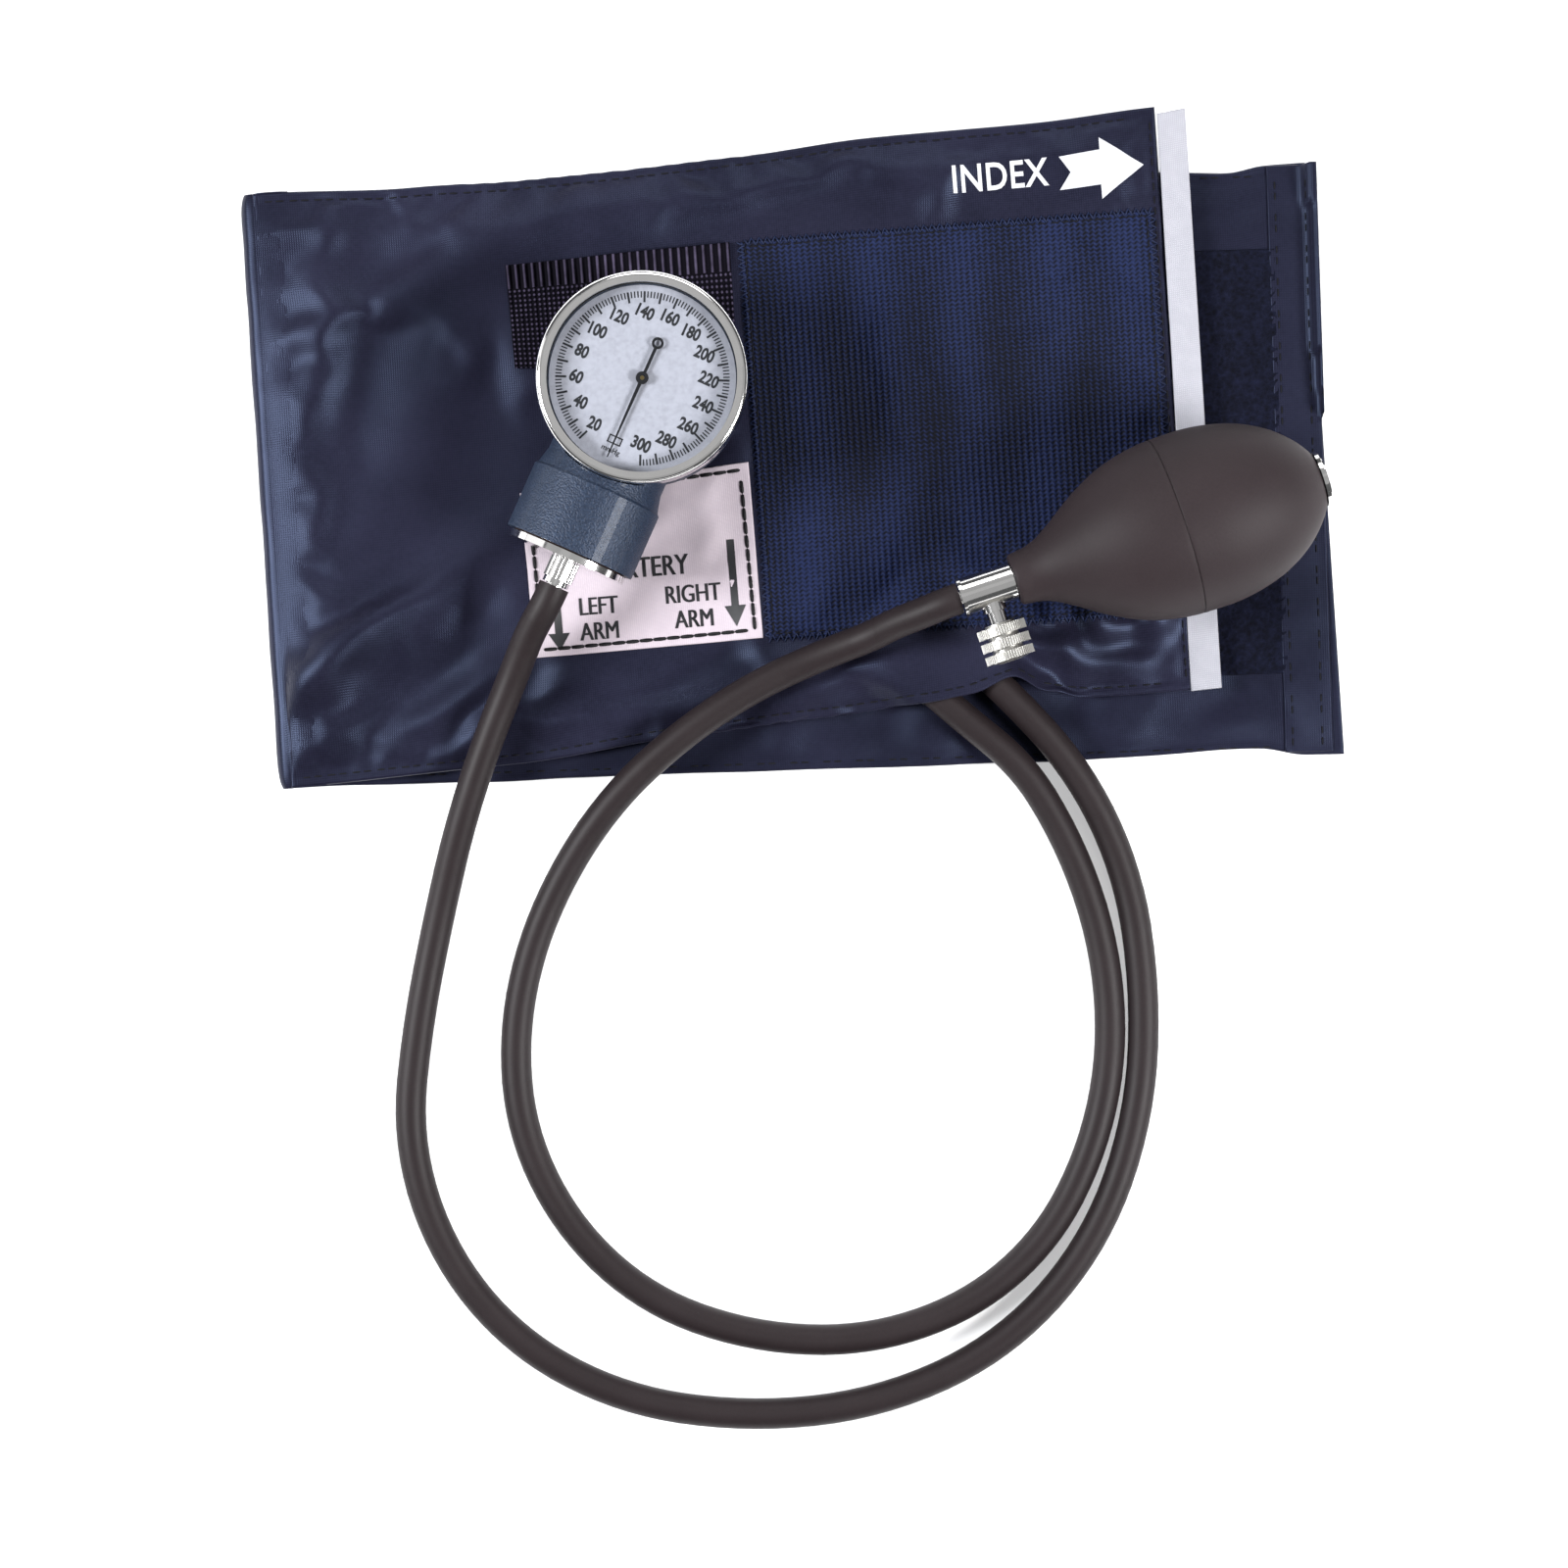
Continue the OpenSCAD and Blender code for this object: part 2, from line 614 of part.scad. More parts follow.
sector_teeth = 17;
sector_start = mesh_turn - sector_sweep / 2;
module sector_gear() color("#c8a45a") place_gauge()
    translate([shaft_at[0], shaft_at[1], 0]) union() {
        translate([0, 0, lower_plate_z - 0.4]) cylinder(r = shaft_r, h = upper_plate_z - lower_plate_z + 2);
        translate([0, 0, gear_z]) linear_extrude(gear_t) rotate(sector_start) union() {
            circle(r = 2);
            for (i = [0 : sector_teeth - 1])
                rotate((i - (sector_teeth - 1) / 2) * 360 / wheel_teeth)
                    polygon(concat([[wheel_r - 0.9, -0.3], [wheel_r - 0.9, 0.3]],
                        tooth(wheel_r, wheel_teeth, 0.2, 0.37, 0.05)));
            sector_rim();
        }
        translate([0, 0, lever_z - 0.8]) rotate(-sector_sweep / 2) union() {
            translate([0, -0.35, 0]) cube([lever_len, 0.7, 1.6]);
            translate([lever_len, 0, 0]) cylinder(r = pin_r, h = 1.6);
            cylinder(r = 1.5, h = 1.6);
        }
    }

// rim and two spokes of the sector, centred on its own X axis
module sector_rim() {
    half = sector_teeth / 2 * 360 / wheel_teeth;
    intersection() {
        difference() {
            circle(r = wheel_r - 0.37);
            circle(r = wheel_r - 1.8);
        }
        polygon([[0, 0], [20 * cos(half), -20 * sin(half)], [22, 0], [20 * cos(half), 20 * sin(half)]]);
    }
    for (s = [-1, 1]) rotate(s * (half - 5)) translate([1.5, -0.6]) square([wheel_r - 2.4, 1.2]);
}

// the arbor stands on the lower plate and carries the pointer above the dial
pinion_phase = mesh_turn + 180 + 180 / pinion_teeth
    - (sector_start - mesh_turn) * wheel_teeth / pinion_teeth;
module pinion_arbor() color("#c8a45a") place_gauge() union() {
    translate([0, 0, lower_plate_z - 0.4]) cylinder(r = arbor_r, h = 17.15);
    translate([0, 0, gear_z - 0.3]) linear_extrude(gear_t + 0.6) rotate(pinion_phase) pinion_outline();
    translate([0, 0, gear_z - 2.3]) cylinder(r = 1.1, h = 1);
}

// flat spiral that takes up the backlash, pinned at its outer end
hair_turns = 4.5;
hair_steps = 108;
function hair(i, off) = let (a = 360 * hair_turns * i / hair_steps, r = 1.75 + 3.6 * i / hair_steps + off)
    [r * cos(a), r * sin(a)];
module hairspring() color("#8f97a3") place_gauge() translate([0, 0, gear_z - 2.1]) union() {
    linear_extrude(0.6) polygon(concat([for (i = [0 : hair_steps]) hair(i, -0.06)],
        [for (i = [hair_steps : -1 : 0]) hair(i, 0.06)]));
    translate([hair(hair_steps, 0)[0], hair(hair_steps, 0)[1], pillar_base - gear_z + 2.1])
        cylinder(r = 0.45, h = 2.9);
}

// ---------------------------------------------------------------- dial side

module dial_plate() color("#dfe6ee") place_gauge() translate([0, 0, dial_z + 0.02])
    tube(dial_r, 1, dial_t);

pointer_z = 36.9;
module pointer() color("#15161a") place_gauge() translate([0, 0, pointer_z]) difference() {
    linear_extrude(0.25) union() {
        polygon([[-0.45, 0], [-0.15, -20.2], [0.15, -20.2], [0.45, 0]]);
        translate([-0.38, 0]) square([0.76, 8]);
        difference() {
            translate([0, 8.9]) circle(r = 1.4);
            translate([0, 8.9]) circle(r = 0.77);
        }
        circle(r = 1.3);
    }
    translate([0, 0, -1]) cylinder(r = arbor_r + 0.01, h = 3);
}

module pointer_hub() color("#15161a") place_gauge() translate([0, 0, pointer_z + 0.27])
    tube(1.5, arbor_r + 0.01, 0.6);

module lens_gasket() color("#202022") place_gauge() translate([0, 0, case_top + 0.02])
    tube(case_r, dial_r + 0.2, 0.9);

module lens() color("#e8f0f4") place_gauge() translate([0, 0, case_top + 0.95])
    cylinder(r = case_r, h = 1.6);

// rolled ring that holds the lens on the case
module bezel() color("#cfd2d6") place_gauge() difference() {
    union() {
        translate([0, 0, bezel_base]) cylinder(d = bezel_d, h = 39.6 - bezel_base);
        translate([0, 0, 39.6]) rotate_extrude() translate([bezel_d / 2 - 1.3, 0]) circle(r = 1.3);
        translate([0, 0, 39.5]) cylinder(d = bezel_d - 2.6, h = 1.4);
    }
    translate([0, 0, bezel_base - 1]) cylinder(r = case_r + 0.05, h = 40.8 - bezel_base);
    translate([0, 0, bezel_base - 1]) cylinder(r = dial_r + 0.3, h = 12);
}

// ---------------------------------------------------------------- hose connection

module hose_connector() color("#c2c5c9") place_gauge() translate([0, drum_end, drum_z])
    along_minus_y() difference() {
        union() {
            translate([0, 0, 3]) cylinder(r = 1.52, h = 3.2);
            translate([0, 0, 6.1]) cylinder(r = 2.2, h = 2.6);
            translate([0, 0, 8.6]) cylinder(r = barb_r, h = barb_len);
        }
        translate([0, 0, 2]) cylinder(r = 0.8, h = 14);
    }

// knurled collar that turns to lock the hose connector on the gauge
module lock_collar() color("#c9ccd0") place_gauge() translate([0, drum_end - 2.1, drum_z])
    along_minus_y() difference() {
        union() {
            cylinder(r = collar_r, h = 5);
            cylinder(r = collar_r - 0.4, h = 6.4);
        }
        translate([0, 0, -1]) cylinder(r = 2.35, h = 9);
        for (i = [1 : collar_grooves]) rotate(i * 360 / collar_grooves)
            translate([collar_r + 0.05, 0, -1]) cylinder(r = collar_groove_r, h = 7, $fn = 16);
    }

// ---------------------------------------------------------------- back clip

module back_clip() color("#b7babf") place_gauge() difference() {
    union() {
        translate([-clip_w / 2, clip_back, clip_plate_z]) cube([clip_w, clip_plate_len, clip_t]);
        translate([-clip_w / 2, clip_back, panel_z + 0.1])
            cube([clip_w, clip_t, clip_plate_z + clip_t - panel_z - 0.1]);
        translate([-clip_w / 2, clip_back, panel_z + 0.1]) cube([clip_w, clip_tongue_len, clip_t]);
    }
    for (x = clip_screw_x) translate([x, 0, clip_plate_z - 1]) cylinder(r = 0.85, h = clip_t + 2);
}

module clip_screws() color("#d8d8d8") place_gauge() for (x = clip_screw_x)
    translate([x, 0, clip_plate_z - 0.02]) difference() {
        union() {
            translate([0, 0, -0.7]) cylinder(r = 1.5, h = 0.68);
            translate([0, 0, -0.1]) cylinder(r = 0.79, h = 3.6);
        }
        translate([-2, -0.2, -1]) cube([4, 0.4, 0.6]);
    }

// ---------------------------------------------------------------- parts

tail_outer_ply();
tail_inner_ply();
loop_panel();
tail_end_hem();
cuff_inner_ply();
bladder();
cuff_outer_ply();
hook_panel();
gauge_strap();
artery_label();
index_strip();
bladder_sleeves();
gauge_hose();
bulb_hose();
bulb();
intake_valve_body();
intake_valve_disc();
intake_valve_ring();
release_valve_body();
check_valve_disc();
check_valve_seat();
gland_bush();
gland_o_ring();
release_needle();
release_knob();
gauge_housing();
end_plate();
end_plate_gasket();
outer_diaphragm();
inner_diaphragm();
capsule_boss();
push_rod();
lower_movement_plate();
upper_movement_plate();
movement_pillars();
movement_screws();
sector_gear();
pinion_arbor();
hairspring();
dial_plate();
pointer();
pointer_hub();
lens_gasket();
lens();
bezel();
hose_connector();
lock_collar();
back_clip();
clip_screws();
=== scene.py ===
import json
import math

import bmesh
import bpy
import numpy as np
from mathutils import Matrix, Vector, noise
from mathutils.bvhtree import BVHTree


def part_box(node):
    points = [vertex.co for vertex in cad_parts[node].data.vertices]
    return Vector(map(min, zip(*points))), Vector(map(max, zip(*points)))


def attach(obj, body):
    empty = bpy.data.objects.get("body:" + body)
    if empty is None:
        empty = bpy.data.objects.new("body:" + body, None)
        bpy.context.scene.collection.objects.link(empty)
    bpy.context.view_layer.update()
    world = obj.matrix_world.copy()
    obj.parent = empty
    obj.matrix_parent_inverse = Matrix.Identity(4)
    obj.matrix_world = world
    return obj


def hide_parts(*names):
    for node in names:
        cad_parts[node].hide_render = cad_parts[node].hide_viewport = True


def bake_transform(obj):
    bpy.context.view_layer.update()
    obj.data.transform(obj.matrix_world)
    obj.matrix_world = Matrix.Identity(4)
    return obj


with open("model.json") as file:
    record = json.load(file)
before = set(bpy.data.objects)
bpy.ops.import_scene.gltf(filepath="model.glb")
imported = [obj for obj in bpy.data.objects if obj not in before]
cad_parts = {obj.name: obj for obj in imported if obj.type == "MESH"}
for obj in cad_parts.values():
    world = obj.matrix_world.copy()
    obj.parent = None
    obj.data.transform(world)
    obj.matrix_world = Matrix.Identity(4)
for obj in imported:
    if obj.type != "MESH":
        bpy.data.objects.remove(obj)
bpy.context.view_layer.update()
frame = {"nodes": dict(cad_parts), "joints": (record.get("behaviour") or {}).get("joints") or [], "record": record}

MM = 0.001
JOINTS = {j["name"]: j for j in frame["joints"]}


# ---------------------------------- places

FOLD_AT = Vector(JOINTS["cuff_fold"]["pos_m"]) / MM
FOLD_Y = Vector(JOINTS["cuff_fold"]["axis"]).normalized()
FOLD_X = Vector((FOLD_Y.y, -FOLD_Y.x, 0))
FOLD_FLAT = Vector((FOLD_AT.x, FOLD_AT.y, 0))
CUFF_W = 144.0      # width of the cuff, along the fold
SKEW = 1.9          # degrees that the two layers lean away from square


def fold_point(x, y, z):
    """Point in millimetres from the fold line's own axes to the row frame, in metres."""
    p = FOLD_FLAT + FOLD_X * x + FOLD_Y * y
    return Vector((p.x, p.y, z)) * MM


def fold_local(p):
    """Row frame in millimetres to the fold line's axes."""
    d = Vector((p[0] - FOLD_AT.x, p[1] - FOLD_AT.y, 0))
    return d.dot(FOLD_X), d.dot(FOLD_Y)


DIAL_AT = Vector(JOINTS["pointer_turn"]["pos_m"]) / MM
TWELVE = Vector(JOINTS["push_rod_slide"]["axis"]).normalized()
THREE = Vector((TWELVE.y, -TWELVE.x, 0))


def dial_point(x, y, z):
    p = Vector((DIAL_AT.x, DIAL_AT.y, 0)) + THREE * x + TWELVE * y
    return Vector((p.x, p.y, z)) * MM


def smooth(t):
    t = min(max(t, 0.0), 1.0)
    return t * t * (3 - 2 * t)


def curve_through(keys, x):
    """Smooth value at x through (position, value) pairs."""
    if x <= keys[0][0]:
        return keys[0][1]
    for (a, fa), (b, fb) in zip(keys, keys[1:]):
        if x <= b:
            return fa + (fb - fa) * smooth((x - a) / (b - a))
    return keys[-1][1]


def wave_noise(x, y, scale, seed):
    return noise.noise(Vector((x / scale, y / scale, seed * 3.7)))


# ---------------------------------- meshes

def new_object(name, verts, faces, uvs=None):
    me = bpy.data.meshes.new(name)
    me.from_pydata([tuple(v) for v in verts], [], faces)
    if uvs is not None:
        layer = me.uv_layers.new(name="UVMap")
        for loop in me.loops:
            layer.data[loop.index].uv = uvs[loop.vertex_index]
    me.shade_smooth()
    ob = bpy.data.objects.new(name, me)
    bpy.context.scene.collection.objects.link(ob)
    return ob


def spread(lo, hi, step, fine_lo=(), fine_hi=()):
    """Grid positions from lo to hi, with finer ones near the ends."""
    a = lo + (fine_lo[-1] if fine_lo else 0)
    b = hi - (fine_hi[-1] if fine_hi else 0)
    n = max(2, round((b - a) / step))
    mid = [a + (b - a) * k / n for k in range(n + 1)]
    start = [lo] + [lo + f for f in fine_lo[:-1]] if fine_lo else []
    end = [hi - f for f in reversed(fine_hi[:-1])] + [hi] if fine_hi else []
    return start + mid + end


def shell_object(name, ss, ts, place):
    """Closed soft sheet: a top and a bottom grid that share their rim.
    place(s, t, side) gives the point in the row frame, side 1 on top and -1 below."""
    n, m = len(ss), len(ts)
    verts, uvs, index = [], [], {}
    for side in (1, -1):
        for i, s in enumerate(ss):
            for j, t in enumerate(ts):
                rim = i in (0, n - 1) or j in (0, m - 1)
                if rim and side == -1:
                    index[side, i, j] = index[1, i, j]
                    continue
                index[side, i, j] = len(verts)
                verts.append(place(s, t, 0 if rim else side))
                uvs.append((s * MM, t * MM))
    faces = []
    for side in (1, -1):
        for i in range(n - 1):
            for j in range(m - 1):
                f = [index[side, i, j], index[side, i + 1, j],
                     index[side, i + 1, j + 1], index[side, i, j + 1]]
                faces.append(f if side == 1 else f[::-1])
    return new_object(name, verts, faces, uvs)


def subdivide(ob):
    """One level of subdivision, kept as the object's mesh."""
    mod = ob.modifiers.new("smooth", "SUBSURF")
    mod.levels = mod.render_levels = 1
    mod.boundary_smooth = "PRESERVE_CORNERS"
    dg = bpy.context.evaluated_depsgraph_get()
    me = bpy.data.meshes.new_from_object(ob.evaluated_get(dg))
    ob.modifiers.clear()
    ob.data = me
    ob.data.shade_smooth()


# ---------------------------------- materials

WAVE = 314.0        # scale of a wave texture that repeats every millimetre
WALE, STITCH = 1.5, 1.05            # pitches of the hook knit, in millimetres
RIB_PITCH, RIB_FROM = 1.95, 19.0    # ribs of the strap, and where across it they begin


class Nodes:
    """Short way to write a procedural node material."""

    def __init__(self, name):
        self.mat = bpy.data.materials.new(name)
        self.mat.use_nodes = True
        self.t = self.mat.node_tree
        self.bsdf = self.t.nodes["Principled BSDF"]
        self.out = self.t.nodes["Material Output"]

    def add(self, kind, **inputs):
        n = self.t.nodes.new(kind)
        for k, v in inputs.items():
            if k in n.inputs:
                self.link(v, n.inputs[k])
            else:
                setattr(n, k, v)
        return n

    def link(self, v, socket):
        if isinstance(v, bpy.types.NodeSocket):
            self.t.links.new(v, socket)
        else:
            socket.default_value = v

    def set(self, **inputs):
        for k, v in inputs.items():
            self.link(v, self.bsdf.inputs[k.replace("_", " ")])

    def coords(self, kind="Object", scale=1.0):
        c = self.add("ShaderNodeTexCoord")
        m = self.add("ShaderNodeMapping", Scale=(scale, scale, scale))
        self.t.links.new(c.outputs[kind], m.inputs["Vector"])
        return m.outputs["Vector"]

    def noise(self, vec, scale, detail=3.0, rough=0.55):
        n = self.add("ShaderNodeTexNoise", Vector=vec, Scale=scale, Detail=detail, Roughness=rough)
        return n.outputs["Fac"]

    def wave(self, vec, scale, direction):
        n = self.add("ShaderNodeTexWave", Vector=vec, Scale=scale, Distortion=0.0)
        n.bands_direction = direction
        return n.outputs["Fac"]

    def math(self, op, a, b=0.0):
        n = self.add("ShaderNodeMath")
        n.operation = op
        self.link(a, n.inputs[0])
        self.link(b, n.inputs[1])
        return n.outputs[0]

    def mul(self, a, b):
        return self.math("MULTIPLY", a, b)

    def plus(self, a, b):
        return self.math("ADD", a, b)

    def ramp(self, fac, stops):
        n = self.add("ShaderNodeValToRGB", Fac=fac)
        e = n.color_ramp.elements
        while len(e) < len(stops):
            e.new(0.5)
        for el, (pos, col) in zip(e, stops):
            el.position = pos
            el.color = (*col, 1)
        return n.outputs["Color"]

    def between(self, fac, lo, hi):
        n = self.add("ShaderNodeMapRange", Value=fac)
        n.inputs["To Min"].default_value = lo
        n.inputs["To Max"].default_value = hi
        return n.outputs["Result"]

    def bump(self, height, distance, strength=1.0, under=None):
        n = self.add("ShaderNodeBump", Height=height, Distance=distance, Strength=strength)
        if under is not None:
            self.t.links.new(under, n.inputs["Normal"])
        return n.outputs["Normal"]


def nylon(name, base, light, rough=0.46):
    """Thin satin-faced woven nylon."""
    m = Nodes(name)
    uv = m.coords("UV")
    obj = m.coords("Object")
    # broad mottling of the base colour: partly random tone of the cloth, partly painted sheen for the light and
    # dark of soft folds
    cloud = m.noise(obj, 28.0, 3.0)
    fine = m.noise(obj, 900.0, 2.0)
    warp = m.wave(uv, WAVE / 0.55, "X")
    weft = m.wave(uv, WAVE / 0.55, "Y")
    threads = m.mul(warp, weft)
    mix = m.plus(m.mul(cloud, 0.6), m.mul(fine, 0.2))
    mix = m.plus(mix, m.mul(threads, 0.25))
    m.set(Base_Color=m.ramp(mix, [(0.33, base), (0.62, light)]),
          Roughness=m.between(m.noise(obj, 40.0), rough - 0.05, rough + 0.07))
    m.set(Specular_IOR_Level=0.26, Specular_Tint=(0.48, 0.62, 1.0, 1))
    crinkle = m.bump(m.noise(obj, 55.0, 2.0, 0.5), 0.0012, 0.45)
    m.set(Normal=m.bump(m.math("MAXIMUM", warp, weft), 0.00007, 0.5, crinkle))
    return m.mat


def woven(name, base, light, pitch_x, pitch_y, depth, rough=0.8, uv_kind="UV"):
    """Coarser cloth such as webbing or tape."""
    m = Nodes(name)
    uv = m.coords(uv_kind)
    obj = m.coords("Object")
    warp = m.wave(uv, WAVE / pitch_x, "X")
    weft = m.wave(uv, WAVE / pitch_y, "Y")
    both = m.mul(warp, weft)
    tone = m.plus(m.mul(both, 0.5), m.mul(m.noise(obj, 300.0, 4.0), 0.5))
    m.set(Base_Color=m.ramp(tone, [(0.25, base), (0.68, light)]), Roughness=rough)
    m.set(Specular_IOR_Level=0.25,
          Normal=m.bump(both, depth, 0.7, m.bump(m.noise(obj, 700.0), 0.0002, 0.4)))
    return m.mat


def knit(name, base, light, wale, stitch):
    """Knitted face: upright wales of V shaped loops; wale and stitch are pitches in millimetres."""
    m = Nodes(name)
    obj = m.coords("Object")
    uv = m.add("ShaderNodeSeparateXYZ", Vector=m.coords("UV", 1.0 / MM))
    u, v = uv.outputs["X"], uv.outputs["Y"]
    column = m.math("DIVIDE", u, wale)
    slant = m.math("PINGPONG", column, 0.5)
    row = m.plus(m.math("DIVIDE", v, stitch), slant)
    loops = m.math("SINE", m.mul(row, math.tau))
    rib = m.math("SINE", m.mul(column, math.tau))
    height = m.plus(m.mul(rib, 0.10), m.mul(loops, 0.14))
    # upright wavy bands of lighter and darker knit are painted shade for the panel's curvature; they are added to
    # broad random mottling of the knit's tone
    drift = m.mul(m.noise(obj, 22.0, 2.0), 7.0)
    shade_bands = m.math("SINE", m.plus(m.math("DIVIDE", u, 3.1), drift))
    mottle_and_shade = m.plus(m.mul(m.noise(obj, 14.0, 2.0), 0.55), m.mul(shade_bands, 0.05))
    fuzz = m.mul(m.noise(obj, 1500.0, 3.0), 0.50)
    tone = m.plus(m.plus(height, mottle_and_shade), fuzz)
    m.set(Base_Color=m.ramp(tone, [(0.38, base), (0.77, light)]), Roughness=0.82)
    m.set(Specular_IOR_Level=0.2, Normal=m.bump(m.plus(height, fuzz), 0.0004, 0.8))
    return m.mat


def webbing(name, base, dot, pitch, rib_pitch, rib_from):
    """Black webbing flecked with light threads; past rib_from (millimetres) it is ribbed instead."""
    m = Nodes(name)
    obj = m.coords("Object")
    uv = m.add("ShaderNodeSeparateXYZ", Vector=m.coords("UV", 1.0 / MM))
    u, v = uv.outputs["X"], uv.outputs["Y"]
    across = m.math("SINE", m.mul(m.plus(u, v), math.pi / pitch))
    back = m.math("SINE", m.mul(m.math("SUBTRACT", u, v), math.pi / pitch))
    flecks = m.mul(across, back)
    ribs = m.mul(m.math("SINE", m.mul(u, math.tau / rib_pitch)), 0.8)
    border = m.math("GREATER_THAN", v, rib_from)
    plain = m.mul(flecks, m.math("SUBTRACT", 1.0, border))
    shape = m.plus(plain, m.mul(ribs, border))
    tone = m.mul(shape, m.between(m.noise(obj, 260.0, 3.0), 0.25, 1.5))
    m.set(Base_Color=m.ramp(tone, [(0.20, base), (0.85, dot)]), Roughness=0.75)
    m.set(Specular_IOR_Level=0.06,
          Normal=m.bump(shape, 0.0003, 0.7, m.bump(m.noise(obj, 900.0), 0.0002, 0.4)))
    return m.mat


def pile(name, base, light, scale, depth):
    """Brushed or looped fibre face."""
    m = Nodes(name)
    obj = m.coords("Object")
    fuzz = m.noise(obj, scale, 6.0, 0.75)
    tuft = m.add("ShaderNodeTexVoronoi", Vector=obj, Scale=scale * 1.3).outputs["Distance"]
    tone = m.mul(fuzz, m.between(tuft, 0.7, 1.2))
    m.set(Base_Color=m.ramp(tone, [(0.3, base), (0.72, light)]), Roughness=0.95)
    m.set(Specular_IOR_Level=0.15, Normal=m.bump(tone, depth, 0.9))
    return m.mat


def rubber(name, base, light, rough, grain):
    m = Nodes(name)
    obj = m.coords("Object")
    cloud = m.noise(obj, 45.0, 4.0)
    speck = m.noise(obj, 1600.0, 2.0)
    tone = m.plus(m.mul(cloud, 0.6), m.mul(speck, 0.4))
    m.set(Base_Color=m.ramp(tone, [(0.3, base), (0.75, light)]),
          Roughness=m.between(cloud, rough - 0.05, rough + 0.07))
    m.set(Specular_IOR_Level=0.24,
          Normal=m.bump(speck, grain, 0.35, m.bump(cloud, 0.0004, 0.25)))
    return m.mat


def metal(name, base, rough, scratch=0.04, grain=0.1):
    m = Nodes(name)
    obj = m.coords("Object")
    smear = m.noise(obj, 160.0, 5.0)
    m.set(Base_Color=m.ramp(smear, [(0.3, tuple(c * 0.93 for c in base)), (0.7, base)]),
          Metallic=1.0, Roughness=m.between(smear, rough, rough + scratch))
    m.set(Normal=m.bump(m.noise(obj, 400.0, 2.0), 0.000004, grain))
    return m.mat


def hammertone(name, base, light):
    """Enamel with the dimpled, slightly metallic hammer finish."""
    m = Nodes(name)
    obj = m.coords("Object")
    cell = m.add("ShaderNodeTexVoronoi", Vector=obj, Scale=2300.0)
    cell.feature = "SMOOTH_F1"
    dimple = cell.outputs["Distance"]
    tone = m.plus(m.mul(dimple, 0.7), m.mul(m.noise(obj, 2100.0), 0.4))
    m.set(Base_Color=m.ramp(tone, [(0.25, base), (0.8, light)]), Metallic=0.3,
          Roughness=m.between(dimple, 0.42, 0.62))
    m.set(Coat_Weight=0.06, Normal=m.bump(tone, 0.0003, 0.8))
    return m.mat


def flat_print(name, colour, rough=0.5):
    m = Nodes(name)
    obj = m.coords("Object")
    n = m.noise(obj, 900.0, 4.0)
    m.set(Base_Color=m.ramp(n, [(0.2, tuple(c * 0.8 for c in colour)), (0.6, colour)]), Roughness=rough)
    m.set(Normal=m.bump(n, 0.00004, 0.4))
    return m.mat


def clear_glass(name):
    """Thin flat glass: clear, with a surface reflection only."""
    m = Nodes(name)
    obj = m.coords("Object")
    clear = m.add("ShaderNodeBsdfTransparent", Color=(0.985, 0.995, 1.0, 1))
    gloss = m.add("ShaderNodeBsdfGlossy", Roughness=0.02)
    edge = m.add("ShaderNodeFresnel", IOR=1.5)
    wave = m.bump(m.noise(obj, 20.0), 0.00005, 0.3)
    m.t.links.new(wave, gloss.inputs["Normal"])
    inside = m.add("ShaderNodeNewGeometry").outputs["Backfacing"]
    front = m.mul(edge.outputs[0], m.math("SUBTRACT", 1.0, inside))
    mix = m.add("ShaderNodeMixShader", Fac=front)
    m.t.links.new(clear.outputs[0], mix.inputs[1])
    m.t.links.new(gloss.outputs[0], mix.inputs[2])
    m.t.links.new(mix.outputs[0], m.out.inputs["Surface"])
    return m.mat


# the lighter tone of each navy pair shows where the broad mottling runs high, and that mottling is partly painted
# sheen
NAVY = nylon("navy_nylon", (0.0070, 0.0066, 0.0140), (0.0182, 0.0175, 0.0348), 0.37)
NAVY_IN = nylon("navy_nylon_inside", (0.0066, 0.0063, 0.0135), (0.0140, 0.0137, 0.0280), 0.39)
HOOK = knit("hook_knit", (0.0006, 0.0011, 0.0048), (0.0112, 0.0195, 0.0700), WALE, STITCH)
LOOP = pile("loop_pile", (0.0015, 0.0018, 0.0055), (0.0085, 0.0105, 0.0290), 620.0, 0.0012)
WEB = webbing("strap_web", (0.0022, 0.0017, 0.0042), (0.075, 0.062, 0.105), 1.15,
              RIB_PITCH, RIB_FROM)
LABEL = woven("label_satin", (0.495, 0.428, 0.482), (0.597, 0.520, 0.565), 0.5, 0.3, 0.00005, 0.42)
TAPE = woven("index_tape", (0.358, 0.358, 0.402), (0.458, 0.455, 0.503), 0.5, 0.5, 0.00008, 0.6)


def thread(name, base, light, rough):
    return woven(name, base, light, 0.2, 0.2, 0.00003, rough, "Object")


THREAD = thread("navy_thread", (0.0012, 0.0012, 0.0028), (0.0055, 0.0055, 0.0115), 0.7)
BLACK_THREAD = thread("black_thread", (0.003, 0.003, 0.004), (0.009, 0.009, 0.011), 0.6)
BORDER_THREAD = thread("border_thread", (0.006, 0.010, 0.034), (0.022, 0.034, 0.095), 0.55)
HOSE = rubber("hose_rubber", (0.0142, 0.0097, 0.0107), (0.0208, 0.0145, 0.0160), 0.52, 0.00004)
BULB = rubber("bulb_rubber", (0.0195, 0.0130, 0.0148), (0.0266, 0.0181, 0.0205), 0.60, 0.00006)
BLACK_RUBBER = rubber("black_rubber", (0.008, 0.008, 0.008), (0.02, 0.02, 0.02), 0.55, 0.00005)
RED_RUBBER = rubber("red_rubber", (0.16, 0.03, 0.02), (0.25, 0.06, 0.04), 0.6, 0.00005)
CHROME = metal("chrome", (0.78, 0.77, 0.76), 0.09)
SATIN = metal("satin_chrome", (0.66, 0.645, 0.61), 0.27, 0.08)
STEEL = metal("steel", (0.55, 0.56, 0.58), 0.25, 0.12)
